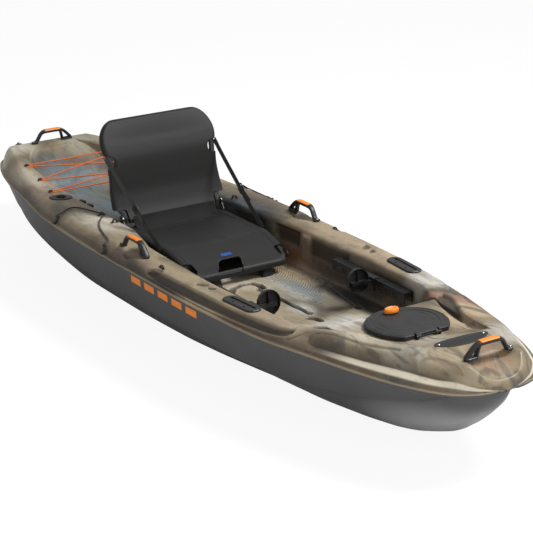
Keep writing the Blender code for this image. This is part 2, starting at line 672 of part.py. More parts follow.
def make_foam(name, xs, half_width, stand_off, hull_tree, deck_tree, finish):
    """Foam pillar standing on the hull and reaching the deck."""
    rings = []
    for x in xs:
        lows, highs = [], []
        for i in range(9):
            y = half_width * (i / 4 - 1)
            start = Vector((x, y, 0.5 * (floor_z(x) + keel_z(x))))
            lows.append(hull_tree.ray_cast(start, Vector((0.0, 0.0, -1.0)))[0].z)
            highs.append(deck_tree.ray_cast(start, Vector((0.0, 0.0, 1.0)))[0].z)
        low, high = max(lows) + stand_off, min(highs) - FOAM_EASE
        rings.append([(x, -half_width, low), (x, half_width, low), (x, half_width, high), (x, -half_width, high)])
    return add_object(name, *loft(rings), finish)


# Deck fittings

def arc(cx, cz, radius, start, end, count):
    """Points of an arc between two angles in degrees."""
    return [(cx + radius * math.cos(math.radians(start + (end - start) * i / (count - 1))),
             cz + radius * math.sin(math.radians(start + (end - start) * i / (count - 1)))) for i in range(count)]


def make_handle(name, place, finish, grip_finish):
    """Moulded carry handle: screwed pads, a loop at one end, and a coloured inlay in its bar."""
    end, half = HANDLE_LENGTH / 2, HANDLE_WIDTH / 2
    top, under = HANDLE_HEIGHT, HANDLE_HEIGHT - HANDLE_BAR
    profile = [
        (-end, 0.0), (-end + PAD_LENGTH, 0.0), (-end + 0.042, 0.008), (-0.047, under - 0.004), (-0.038, under),
        (0.036, under), (0.044, under - 0.004), (end - PAD_LENGTH - 0.010, 0.004), (end - PAD_LENGTH, 0.0),
        (end, 0.0), (end, PAD_HEIGHT), (end - PAD_LENGTH + 0.006, PAD_HEIGHT), (end - PAD_LENGTH - 0.001, 0.015),
        (0.055, top - 0.004), (0.046, top), (-0.046, top), (-0.056, top - 0.004), (-end + 0.008, 0.020),
        (-end, PAD_HEIGHT)]
    handle = extrude_across(name, profile, HANDLE_WIDTH, finish, place)
    plan = [(-end, -half * 0.5), (-end + 0.008, -half), (end - 0.008, -half), (end, -half * 0.5)]
    plan += [(u, -v) for u, v in reversed(plan)]
    shape = loft([[place @ Vector((u, v, z)) for u, v in plan] for z in (-0.01, HANDLE_HEIGHT + 0.01)])
    loop = [(-end + 0.012, PAD_HEIGHT + 0.002), (-end + 0.029, PAD_HEIGHT + 0.002), (-0.0555, under - 0.006),
            (-0.0575, under + 0.003), (-end + 0.0135, 0.0195)]
    reach, low = INLAY_LENGTH / 2 + GAP, top - INLAY_DEPTH
    recess = [(-reach, low), (reach, low), (reach, top + 0.01), (-reach, top + 0.01)]
    combine(handle, [(add_object("plan", *shape, finish), "INTERSECT"),
                     (extrude_across("loop", loop, HANDLE_WIDTH * 2, finish, place), "DIFFERENCE"),
                     (extrude_across("recess", recess, INLAY_WIDTH + 2 * GAP, finish, place), "DIFFERENCE")])
    low, high = low + GAP, top + 0.0012
    rings = []
    for u in (-INLAY_LENGTH / 2, INLAY_LENGTH / 2):
        ring = [(-INLAY_WIDTH / 2, low), (INLAY_WIDTH / 2, low), (INLAY_WIDTH / 2, high - 0.0012),
                (INLAY_WIDTH / 4, high), (-INLAY_WIDTH / 4, high), (-INLAY_WIDTH / 2, high - 0.0012)]
        rings.append([place @ Vector((u, v, z)) for v, z in ring])
    return handle, add_object(name + "_grip", *loft(rings), grip_finish)


def make_gear_plate(name, side, finish):
    """Rounded plate with a long slot and two screw recesses."""
    half_length, half_width = PLATE_LENGTH / 2, PLATE_WIDTH / 2
    corner = 0.024
    turn = Matrix.Translation((PLATE_X, side * PLATE_Y, GUNWALE_Z + GAP))
    turn = turn @ Matrix.Rotation(-side * PLATE_TOE_IN, 4, "Z")
    rings = []
    for inset, z in ((0.0, 0.0), (0.0, PLATE_THICK - 0.0015), (0.002, PLATE_THICK)):
        ring = []
        for sx, sy, start in ((1, 1, 0), (-1, 1, 90), (-1, -1, 180), (1, -1, 270)):
            centre = (sx * (half_length - corner), sy * (half_width - corner))
            ring += [turn @ Vector((u, v, z)) for u, v in arc(*centre, corner - inset, start, start + 90, 4)]
        rings.append(ring)
    plate = add_object(name, *loft(rings), finish)
    slot_length, slot_width = PLATE_SLOT
    reach = slot_length / 2 - slot_width / 2
    outline = arc(reach, 0.0, slot_width / 2, -90, 90, 5) + arc(-reach, 0.0, slot_width / 2, 90, 270, 5)
    slot = loft([[turn @ Vector((u, v + 0.0056, z)) for u, v in outline] for z in (-0.01, 0.02)])
    tools = [(add_object("slot", *slot, finish), "DIFFERENCE")]
    for u in (-0.030, 0.030):
        middle = turn @ Vector((u, -0.0150, 0.003))
        recess = disc(middle.x, middle.y, middle.z, 0.0045, 0.010, 10)
        tools.append((add_object("screw recess", *recess, finish), "DIFFERENCE"))
    return combine(plate, tools)


def make_rod_holder(name, side, finish):
    """Flush rod holder: oval flange on the gunwale over a closed, leaning tube."""
    y = side * ROD_Y
    aim = Vector((0.516, -side * 0.857))
    cross = Vector((-aim.y, aim.x))
    rings = []
    for shrink, z in ((0.0, GAP), (0.0, 0.0022), (0.004, 0.004)):
        long_half, short_half = ROD_FLANGE[0] - shrink, ROD_FLANGE[1] - shrink
        rings.append([(ROD_X + aim.x * long_half * math.cos(math.tau * k / 16)
                       + cross.x * short_half * math.sin(math.tau * k / 16),
                       y + aim.y * long_half * math.cos(math.tau * k / 16)
                       + cross.y * short_half * math.sin(math.tau * k / 16), GUNWALE_Z + z) for k in range(16)])
    holder = add_object(name, *loft(rings), finish)
    outer = slanted_bar(ROD_X, y, GUNWALE_Z, ROD_BORE + ROD_WALL, -0.0005, ROD_DEPTH)
    inner = slanted_bar(ROD_X, y, GUNWALE_Z, ROD_BORE, 0.02, ROD_DEPTH - 0.004)
    return combine(holder, [(add_object("tube", *outer, finish), "UNION"),
                            (add_object("bore", *inner, finish), "DIFFERENCE")])


def make_eye(name, place, finish):
    """Arched strap that a cord runs under."""
    half_foot, half_top, rise = 0.016, 0.0055, EYE_HEIGHT
    profile = [(-half_foot, 0.0), (-0.0085, 0.0), (-0.0045, rise - 0.003), (0.0045, rise - 0.003), (0.0085, 0.0),
               (half_foot, 0.0), (half_foot, 0.0028), (0.0100, 0.0028), (half_top, rise), (-half_top, rise),
               (-0.0100, 0.0028), (-half_foot, 0.0028)]
    return extrude_across(name, profile, EYE_WIDTH, finish, place)


def make_cord_hook(name, place, finish):
    """Flat hook at the end of a paddle cord, lying on the side of the gunwale."""
    profile = [(-0.016, 0.0), (0.018, 0.0), (0.018, 0.009), (0.0145, 0.009), (0.0115, 0.0042), (-0.006, 0.0042),
               (-0.010, 0.010), (-0.016, 0.010)]
    return extrude_across(name, profile, HOOK_WIDTH, finish, place)


def make_cord(name, route, finish, radius=CORD_RADIUS, closed=False):
    """Cord as a round tube on straight stretches between the points of its route."""
    curve = bpy.data.curves.new(name, "CURVE")
    curve.dimensions = "3D"
    curve.bevel_depth = radius
    curve.bevel_resolution = 2
    curve.use_fill_caps = True
    line = curve.splines.new("POLY")
    line.points.add(len(route) - 1)
    for spot, place in zip(line.points, route):
        spot.co = (*place, 1.0)
    line.use_cyclic_u = closed
    curve.materials.append(finish)
    made = bpy.data.objects.new(name, curve)
    bpy.context.scene.collection.objects.link(made)
    return made


# Hatch

def make_hatch_rim(finish):
    """Flanged ring in the deck, its upstand and the ears of the hinge."""
    section = ((0.005, 0.0), (0.005, 0.003), (0.0145, 0.003), (0.0145, UPSTAND), (0.0225, UPSTAND), (0.0225, -0.010),
               (0.0200, -0.010), (0.0200, 0.0))
    seat = FOREDECK_Z + GAP
    rim = add_object("hatch_rim", *ring_solid([hatch_outline(inset, seat + z) for inset, z in section]), finish)
    tools = []
    for side in (-1, 1):
        ear = [(HATCH_HINGE_X - 0.022, seat + 0.0005), (HATCH_HINGE_X + 0.005, seat + 0.0005)]
        ear += arc(HATCH_HINGE_X, HINGE_ROD_Z, 0.005, 0, 180, 7)
        ear += [(HATCH_HINGE_X - 0.005, seat + 0.0025), (HATCH_HINGE_X - 0.022, seat + 0.0025)]
        place = Matrix.Translation((0.0, side * 0.046, 0.0))
        tools.append((extrude_across("ear", ear, 0.004, finish, place), "UNION"))
    bore = disc(HATCH_HINGE_X, -0.06, HINGE_ROD_Z, HINGE_ROD + 0.0002, 0.12, 12, "Y")
    tools.append((add_object("bore", *bore, finish), "DIFFERENCE"))
    return combine(rim, tools)


def make_hatch_gasket(finish):
    """Rubber ring between the rim and the lid."""
    low = FOREDECK_Z + UPSTAND + 2 * GAP
    high = low + GASKET
    section = ((0.0150, low), (0.0150, high), (0.0220, high), (0.0220, low))
    return add_object("hatch_gasket", *ring_solid([hatch_outline(inset, z) for inset, z in section]), finish)


def make_hatch_lid(finish):
    """Crowned lid with shallow steps, a skirt over the rim and the hinge's knuckles."""
    under = FOREDECK_Z + UPSTAND + GASKET + 3 * GAP
    skirt = FOREDECK_Z + 0.0020
    top = under + LID_THICK
    section = ((0.0, skirt), (0.0, top - 0.0025), (0.0025, top), (0.030, top + 0.0012), (0.031, top + 0.0004),
               (0.070, top + 0.0025))
    rings = [hatch_outline(0.003, skirt), *[hatch_outline(inset, z) for inset, z in section]]
    rings.insert(0, hatch_outline(0.003, under))
    lid = add_object("hatch_lid", *loft(rings), finish)
    tools = []
    for side in (-1, 1):
        slot_low = (HATCH_HINGE_X - 0.016, side * 0.046 - 0.0035, FOREDECK_Z)
        slot_high = (HATCH_HINGE_X + 0.006, side * 0.046 + 0.0035, top + 0.002)
        tools.append((box("ear slot", slot_low, slot_high, finish), "DIFFERENCE"))
        knuckle = [(HATCH_HINGE_X - 0.012, under + 0.0005), (HATCH_HINGE_X - 0.012, top - 0.001)]
        knuckle += arc(HATCH_HINGE_X, HINGE_ROD_Z, 0.0048, 90, -90, 9)
        knuckle += [(HATCH_HINGE_X - 0.0072, HINGE_ROD_Z - 0.0048), (HATCH_HINGE_X - 0.0072, under + 0.0005)]
        place = Matrix.Translation((0.0, side * 0.036, 0.0))
        tools.append((extrude_across("knuckle", knuckle, 0.012, finish, place), "UNION"))
    bore = disc(HATCH_HINGE_X, -0.06, HINGE_ROD_Z, HINGE_ROD + 0.0002, 0.12, 12, "Y")
    tools.append((add_object("bore", *bore, finish), "DIFFERENCE"))
    hole = disc(KNOB_X, 0.0, FOREDECK_Z, KNOB_SHAFT + GAP, 0.05, 12)
    tools.append((add_object("knob hole", *hole, finish), "DIFFERENCE"))
    return combine(lid, tools)


def make_hatch_knob(finish):
    """Oval knob on a shaft through the lid, with the small catch that locks it."""
    low = FOREDECK_Z - 0.0165
    top = FOREDECK_Z + UPSTAND + GASKET + LID_THICK + 0.004
    rings = []
    for long_half, short_half, z in ((0.024, 0.013, top), (0.028, 0.017, top + 0.004), (0.028, 0.017, top + 0.012),
                                     (0.024, 0.013, top + 0.017), (0.014, 0.007, top + 0.0155)):
        rings.append([(KNOB_X + short_half * math.cos(math.tau * k / 16), long_half * math.sin(math.tau * k / 16), z)
                      for k in range(16)])
    knob = add_object("hatch_knob", *loft(rings), finish)
    shaft = add_object("shaft", *disc(KNOB_X, 0.0, low, KNOB_SHAFT, top - low + 0.003, 12), finish)
    catch = box("catch", (KNOB_X - 0.005, -CATCH_REACH, low), (KNOB_X + 0.005, 0.003, low + 0.004), finish)
    return combine(knob, [(shaft, "UNION"), (catch, "UNION")])


def make_hatch_rod(finish):
    """Rod of the hatch hinge."""
    return add_object("hatch_rod", *disc(HATCH_HINGE_X, -0.050, HINGE_ROD_Z, HINGE_ROD, 0.100, 10, "Y"), finish)


# Foot braces

def make_rail(name, side, finish):
    """Ribbed channel on the cockpit wall, with a row of windows down its inner side."""
    back = RAIL_WALL_Y - GAP
    front, low = back - RAIL_WIDTH, RAIL_TOP_Z - RAIL_HEIGHT
    ridge, rib = 0.0015, RAIL_WIDTH / 7
    profile = [(back, low), (back, RAIL_TOP_Z - ridge)]
    for i in range(4):
        start = back - 2 * i * rib
        profile += [(start, RAIL_TOP_Z), (start - rib, RAIL_TOP_Z)]
        if i < 3:
            profile += [(start - rib, RAIL_TOP_Z - ridge), (start - 2 * rib, RAIL_TOP_Z - ridge)]
    profile += [(front, low), (front + 0.003, low), (front + 0.003, RAIL_TOP_Z - 0.0045),
                (back - 0.004, RAIL_TOP_Z - 0.0045), (back - 0.004, low)]
    rings = [[(x, side * y, z) for y, z in profile] for x in (RAIL_AFT_X, RAIL_FORE_X)]
    rail = add_object(name, *loft(rings), finish)
    pitch = 0.042
    points, faces = [], []
    for i in range(int((RAIL_FORE_X - RAIL_AFT_X) / pitch)):
        x = RAIL_AFT_X + pitch * (i + 0.5)
        outline = [(x, front - 0.002), (x + 0.026, front - 0.002), (x + 0.026, front + 0.008), (x, front + 0.008)]
        more, quads = prism([(u, side * v) for u, v in outline], low + 0.010, low + 0.024)
        faces += [tuple(k + len(points) for k in quad) for quad in quads]
        points += more
    return combine(rail, [(add_object("windows", points, faces, finish), "DIFFERENCE")])


def make_pedal(name, side, finish):
    """Foot pad: a dished disc with spokes, on an arm and a carriage that clips round the rail."""
    front = RAIL_WALL_Y - GAP - RAIL_WIDTH
    low, top = RAIL_TOP_Z - RAIL_HEIGHT, RAIL_TOP_Z
    clip = [(front - GAP, top + GAP), (front + 0.018, top + GAP), (front + 0.018, top + 0.0033),
            (front - 0.0045, top + 0.0033), (front - 0.0045, low - 0.0033), (front + 0.0105, low - 0.0033),
            (front + 0.0105, low - GAP), (front - GAP, low - GAP)]
    rings = [[(x, side * y, z) for y, z in clip] for x in (PEDAL_X - 0.030, PEDAL_X + 0.030)]
    pedal = add_object(name, *loft(rings), finish)
    lean = Matrix.Translation((PEDAL_X, side * PEDAL_Y, PEDAL_Z)) @ Matrix.Rotation(math.radians(-8), 4, "Y")
    rows = []
    for radius, x in ((0.0, -0.003), (PEDAL_RADIUS, -0.003), (PEDAL_RADIUS, 0.011), (PEDAL_RADIUS - 0.0025, 0.011),
                      (PEDAL_RADIUS - 0.0025, 0.0), (0.0, 0.0)):
        if radius:
            rows.append([lean @ Vector((x, radius * math.cos(math.tau * k / 16), radius * math.sin(math.tau * k / 16)))
                         for k in range(16)])
    dish = add_object("dish", *loft(rows), finish)
    tools = [(dish, "UNION")]
    for turn in (90, 210, 330):
        spoke = Matrix.Rotation(math.radians(turn), 4, "X")
        outline = [(-0.001, 0.0), (0.009, 0.0), (0.007, PEDAL_RADIUS - 0.001), (-0.001, PEDAL_RADIUS - 0.001)]
        rings = [[lean @ spoke @ Vector((x, y, z)) for x, y in outline] for z in (-0.0014, 0.0014)]
        tools.append((add_object("spoke", *loft(rings), finish), "UNION"))
    reach = front - 0.0025
    arm = [(PEDAL_X - 0.002, PEDAL_Y - 0.030), (PEDAL_X + 0.012, PEDAL_Y - 0.030), (PEDAL_X + 0.016, PEDAL_Y + 0.020),
           (PEDAL_X + 0.026, reach), (PEDAL_X - 0.006, reach), (PEDAL_X - 0.002, PEDAL_Y + 0.020)]
    rings = [[(x, side * y, z) for x, y in arm] for z in (PEDAL_Z - 0.013, PEDAL_Z - 0.001)]
    tools.append((add_object("arm", *loft(rings), finish), "UNION"))
    return combine(pedal, tools)


# Seat

def seat_z(x):
    """Height of the base frame's centreline."""
    if x <= SEAT_BEND_X:
        return SEAT_RAIL_Z
    share = (x - SEAT_BEND_X) / (SEAT_FRONT_X - SEAT_BEND_X)
    return SEAT_RAIL_Z + (SEAT_FRONT_Z - SEAT_RAIL_Z) * share * (0.55 + 0.45 * share)


def seat_outline():
    """Starboard half of the base frame in plan, as (x, y, normal x, normal y), rear to front."""
    corner, half = SEAT_CORNER, SEAT_RAIL_Y
    outline = []
    for i in range(4):
        a = math.radians(180 + 30 * i)
        outline.append((SEAT_REAR_X + corner + corner * math.cos(a), -half + corner + corner * math.sin(a),
                        math.cos(a), math.sin(a)))
    for x in (-0.25, SEAT_BEND_X - 0.015, SEAT_BEND_X + 0.020, -0.030):
        outline.append((x, -half, 0.0, -1.0))
    for i in range(4):
        a = math.radians(270 + 30 * i)
        outline.append((SEAT_FRONT_X - corner + corner * math.cos(a), -half + corner + corner * math.sin(a),
                        math.cos(a), math.sin(a)))
    return outline


def seat_ring(outset, lift, pull=0.0):
    """Loop round the base frame: starboard side forward, port side back."""
    ring = []
    for x, y, nx, ny in seat_outline():
        px, py = x + nx * outset, y + ny * outset
        middle = min(max(px, SEAT_REAR_X + 0.090), SEAT_FRONT_X - 0.080)
        px, py = px + (middle - px) * pull, py * (1.0 - pull)
        level = min(max(px, SEAT_REAR_X), SEAT_FRONT_X)
        slope = (seat_z(level + 0.002) - seat_z(level - 0.002)) / 0.004
        ring.append((px, py, seat_z(level) + lift * math.hypot(1.0, slope)))
    return ring + [(x, -y, z) for x, y, z in reversed(ring)]


def make_base_frame(finish):
    """Bent tube round the seat base."""
    return tube("seat_base_frame", seat_ring(0.0, 0.0), SEAT_TUBE, finish, 8, closed=True)


def make_base_cover(finish):
    """Cloth tray over the base frame, its skirt turned down round the tube, with hand openings."""
    inner = SEAT_TUBE + CLOTH_GAP
    outer = inner + CLOTH
    slant = math.sqrt(0.5)
    inside = [seat_ring(inner, -SKIRT), seat_ring(inner, 0.0), seat_ring(inner * slant, inner * slant),
              seat_ring(0.0, inner)]
    outside = [seat_ring(outer, -SKIRT), seat_ring(outer, 0.0), seat_ring(outer * slant, outer * slant),
               seat_ring(0.0, outer)]
    for pull, share in ((0.40, 0.70), (0.85, 1.0)):
        inside.append(seat_ring(0.0, inner - share * SEAT_SAG, pull))
        outside.append(seat_ring(0.0, outer - share * SEAT_SAG, pull))
    rings = list(reversed(inside)) + outside
    count = len(rings[0])
    points = [p for ring in rings for p in ring]
    faces = grid_faces(len(rings), count, wrap=True)
    for base, flip in ((0, False), ((len(rings) - 1) * count, True)):
        for i in range(count // 2 - 1):
            quad = (base + i, base + i + 1, base + count - 2 - i, base + count - 1 - i)
            faces.append(tuple(reversed(quad)) if flip else quad)
    cover = add_object("seat_base_cover", points, faces, finish)
    tools = []
    opening = [(-0.010, -0.052), (-0.002, -0.072), (SEAT_FRONT_X - 0.020, -0.080), (SEAT_FRONT_X - 0.014, -0.074),
               (SEAT_FRONT_X - 0.014, 0.016), (SEAT_FRONT_X - 0.020, 0.022), (-0.002, 0.012), (-0.010, -0.008)]
    tools.append((add_object("hand opening", *prism(opening, 0.20, 0.32), finish), "DIFFERENCE"))
    for side in (-1, 1):
        corner = [(SEAT_FRONT_X - 0.062, 0.186), (SEAT_FRONT_X - 0.050, 0.176), (SEAT_FRONT_X - 0.018, 0.176),
                  (SEAT_FRONT_X + 0.030, 0.215), (SEAT_FRONT_X - 0.020, 0.240), (SEAT_FRONT_X - 0.062, 0.240)]
        hole = prism([(x, side * y) for x, y in corner], 0.18, 0.32)
        tools.append((add_object("corner opening", *hole, finish), "DIFFERENCE"))
    return combine(cover, tools)


def make_seat_foot(name, side, finish):
    """Rubber foot under the front of the base frame."""
    x = SEAT_FRONT_X - 0.006
    top = SEAT_FRONT_Z - SEAT_TUBE - GAP
    rings = []
    for half_x, half_y, z in ((0.014, 0.022, FLOOR_Z + GAP), (0.013, 0.020, FLOOR_Z + 0.010), (0.007, 0.013, top)):
        centre_x = x + (0.006 if z == top else 0.0)
        rings.append([(centre_x - half_x, side * 0.110 - half_y, z), (centre_x + half_x, side * 0.110 - half_y, z),
                      (centre_x + half_x, side * 0.110 + half_y, z), (centre_x - half_x, side * 0.110 + half_y, z)])
    return add_object(name, *loft(rings), finish)


def make_bracket(name, side, finish):
    """Upright plate beside the base frame: it stands on the floor and carries the backrest's pin."""
    inner = SEAT_RAIL_Y + SEAT_TUBE + GAP
    outline = [(HINGE_X - 0.034, FLOOR_Z + GAP), (HINGE_X + 0.050, FLOOR_Z + GAP), (HINGE_X + 0.050, FLOOR_Z + 0.012),
               (HINGE_X + 0.034, 0.262), (HINGE_X + 0.030, 0.300), *arc(HINGE_X, HINGE_Z, 0.016, -10, 190, 11),
               (HINGE_X - 0.018, 0.262), (HINGE_X - 0.034, FLOOR_Z + 0.012)]
    place = Matrix.Translation((0.0, side * (inner + BRACKET / 2), 0.0))
    bracket = extrude_across(name, outline, BRACKET, finish, place)
    window = [(HINGE_X - 0.010, 0.215), (HINGE_X + 0.026, 0.215), (HINGE_X + 0.018, 0.255), (HINGE_X - 0.004, 0.255)]
    hole = extrude_across("window", window, 0.02, finish, place)
    reach = 0.026
    start = inner + 0.002 - reach if side > 0 else -(inner + 0.002)
    pin = disc(HINGE_X, start, HINGE_Z, HINGE_PIN, reach, 12, "Y")
    head_start = inner + 0.001 if side > 0 else -(inner + 0.001) - 0.007
    head = disc(HINGE_X, head_start, HINGE_Z, 0.008, 0.007, 12, "Y")
    return combine(bracket, [(hole, "DIFFERENCE"), (add_object("pin", *pin, finish), "UNION"),
                             (add_object("head", *head, finish), "UNION")])


def back_x(z):
    """Where the backrest's middle surface lies at a height."""
    return fair(z, [(level, x) for level, x, _ in BACK_LINE])


def back_half(z, inset=0.0):
    """Half the width of the backrest at a height, drawn in by an inset."""
    low = BACK_TOP - BACK_CORNER
    if z <= low:
        return fair(z, [(level, half) for level, _, half in BACK_LINE if level > BACK_WAIST_Z]) - inset
    return BACK_HALF - BACK_CORNER + math.sqrt(max(0.0, (BACK_CORNER - inset) ** 2 - (z - low) ** 2))


def back_normal(z):
    """Direction square to the backrest, in the side view."""
    step = 0.004
    run = back_x(z + step) - back_x(z - step)
    return Vector((2 * step, 0.0, -run)).normalized()


def back_ring(z, half_thick, inset, sides=4):
    """Rounded slice of the backrest's cloth at one height."""
    middle = Vector((back_x(z), 0.0, z))
    normal = back_normal(z)
    reach = back_half(z, inset) - half_thick
    ring = []
    for sign in (1, -1):
        for i in range(sides + 1):
            a = math.radians(-90 + 180 * i / sides)
            ring.append(middle + normal * half_thick * math.sin(a) * sign
                        + Vector((0.0, sign * (reach + half_thick * math.cos(a)), 0.0)))
    return ring


def make_back_frame(finish):
    """Bent tube up both sides and over the top of the backrest, bored for the brackets' pins."""
    side = [(HINGE_X, SEAT_RAIL_Y, HINGE_Z - 0.014), (HINGE_X - 0.0005, SEAT_RAIL_Y, HINGE_Z + 0.006),
            (back_x(0.346), SEAT_RAIL_Y, 0.346), (back_x(0.362), SEAT_RAIL_Y + 0.012, 0.362)]
    side += [(back_x(z), back_half(z, BACK_ROUND), z) for z in (0.380, BACK_LOW_Z, BACK_MID_Z, BACK_OPENING_Z)]
    corner = BACK_CORNER - BACK_ROUND
    top = BACK_TOP - BACK_ROUND
    for i in range(5):
        a = math.radians(90 * i / 4)
        z = top - corner + corner * math.sin(a)
        side.append((back_x(z), BACK_HALF - BACK_CORNER + corner * math.cos(a), z))
    path = side + [(x, -y, z) for x, y, z in reversed(side)]
    frame = tube("backrest_frame", path, SEAT_TUBE, finish, 8)
    bore = disc(HINGE_X, -0.25, HINGE_Z, HINGE_PIN + GAP, 0.5, 12, "Y")
    return combine(frame, [(add_object("bore", *bore, finish), "DIFFERENCE")])


def make_back_cover(finish):
    """Cloth sleeve over the back frame, open below, with side openings for the straps."""
    inside, outside = [], []
    for rings, thick, inset in ((inside, BACK_ROUND - BACK_WALL, BACK_WALL), (outside, BACK_ROUND, 0.0)):
        rings += [back_ring(z, thick, inset) for z in BACK_LEVELS]
        for a in (math.radians(38), math.radians(68)):
            z = BACK_TOP - BACK_ROUND + thick * math.sin(a)
            rings.append(back_ring(z, thick * math.cos(a), inset))
    cover = add_object("backrest_cover", *loft(list(reversed(inside)) + outside), finish)
    tools = []
    for side in (-1, 1):
        notch = [(TONGUE_HALF, 0.290), (0.270, 0.290), (0.270, 0.362), (TONGUE_HALF + 0.014, 0.362),
                 (TONGUE_HALF + 0.004, 0.358), (TONGUE_HALF, 0.348)]
        rings = [[(x, side * y, z) for y, z in notch] for x in (-0.52, -0.36)]
        tools.append((add_object("notch", *loft(rings), finish), "DIFFERENCE"))
        opening = [(0.270, BACK_OPENING_Z - 0.026), *arc(0.226, BACK_OPENING_Z, 0.026, 270, 90, 9),
                   (0.270, BACK_OPENING_Z + 0.026)]
        rings = [[(x, side * y, z) for y, z in opening] for x in (-0.60, -0.40)]
        tools.append((add_object("strap opening", *loft(rings), finish), "DIFFERENCE"))
    return combine(cover, tools)


def make_strap(name, side, finish):
    """Side strap from the backrest's frame down to the base frame, with its buckle."""
    top = BACK_OPENING_Z + 0.018
    reach = back_half(top, BACK_ROUND) + SEAT_TUBE + 0.0006 + STRAP_THICK / 2
    high = Vector((back_x(top) + 0.002, side * reach, top))
    low = Vector((-0.130, side * (SEAT_RAIL_Y + SEAT_TUBE + CLOTH_GAP + CLOTH + 0.0008 + STRAP_THICK / 2), 0.292))
    along = (low - high).normalized()
    across = along.cross(Vector((0.0, 1.0, 0.0))).normalized()
    out = across.cross(along).normalized()
    rings = []
    for share, width, thick in ((0.0, 1.0, 1.0), (0.52, 1.0, 1.0), (0.525, 1.35, 3.0), (0.60, 1.35, 3.0),
                                (0.605, 1.0, 1.0), (1.0, 1.0, 1.0)):
        middle = high.lerp(low, share)
        u, v = across * STRAP_WIDTH / 2 * width, out * STRAP_THICK / 2 * thick
        rings.append([middle - u - v, middle + u - v, middle + u + v, middle - u + v])
    return add_object(name, *loft(rings), finish)


def on_deck(tree, x, y, lift):
    """Point above the deck, clear of its slope by the lift."""
    hit, normal, _, _ = tree.ray_cast(Vector((x, y, 1.0)), Vector((0.0, 0.0, -1.0)))
    return hit + Vector((0.0, 0.0, lift / normal.z))


def make_drain_plug(place, finish):
    """Screw plug with a grip across its head, and a stub through the deck."""
    def placed(parts):
        points, faces = parts
        return [place @ Vector(p) for p in points], faces
    plug = add_object("drain_plug", *placed(disc(0.0, 0.0, 0.0, 0.014, 0.005, 20)), finish)
    stub = add_object("stub", *placed(disc(0.0, 0.0, -0.013, PLUG_STUB, 0.015, 16)), finish)
    bar = extrude_across("bar", [(-0.010, 0.004), (0.010, 0.004), (0.008, 0.011), (-0.008, 0.011)], 0.005, finish,
                         place)
    return combine(plug, [(stub, "UNION"), (bar, "UNION")])


def well_route(places):
    """Closed lacing of the tank well: each turn runs round the inboard foot of an eye."""
    turn = ((0.018, -0.0085), (0.0055, -0.0080), (0.0008, -0.0035))
    order = (("starboard", 0), ("port", 0), ("starboard", 1), ("port", 2), ("starboard", 2), ("port", 1))
    from_aft = (False, True, True, True, False, False)
    middle_lift = (0.0, LACE_LIFT, LACE_LIFT, 0.0, -LACE_LIFT, -LACE_LIFT)
    route = []
    for (side, i), aft_first, lift in zip(order, from_aft, middle_lift):
        place = places[side, i]
        inboard = 1.0 if side == "starboard" else -1.0
        stops = [(inboard * u, v) for u, v in turn] + [(inboard * u, -v) for u, v in reversed(turn)]
        if aft_first:
            stops = [(u, -v) for u, v in stops]
        route.append([place @ Vector((u, v, 0.0046)) for u, v in stops])
    points = []
    for i, stops in enumerate(route):
        points += stops
        ahead = route[(i + 1) % len(route)][0]
        points.append(stops[-1].lerp(ahead, 0.5) + Vector((0.0, 0.0, middle_lift[i])))
    return points


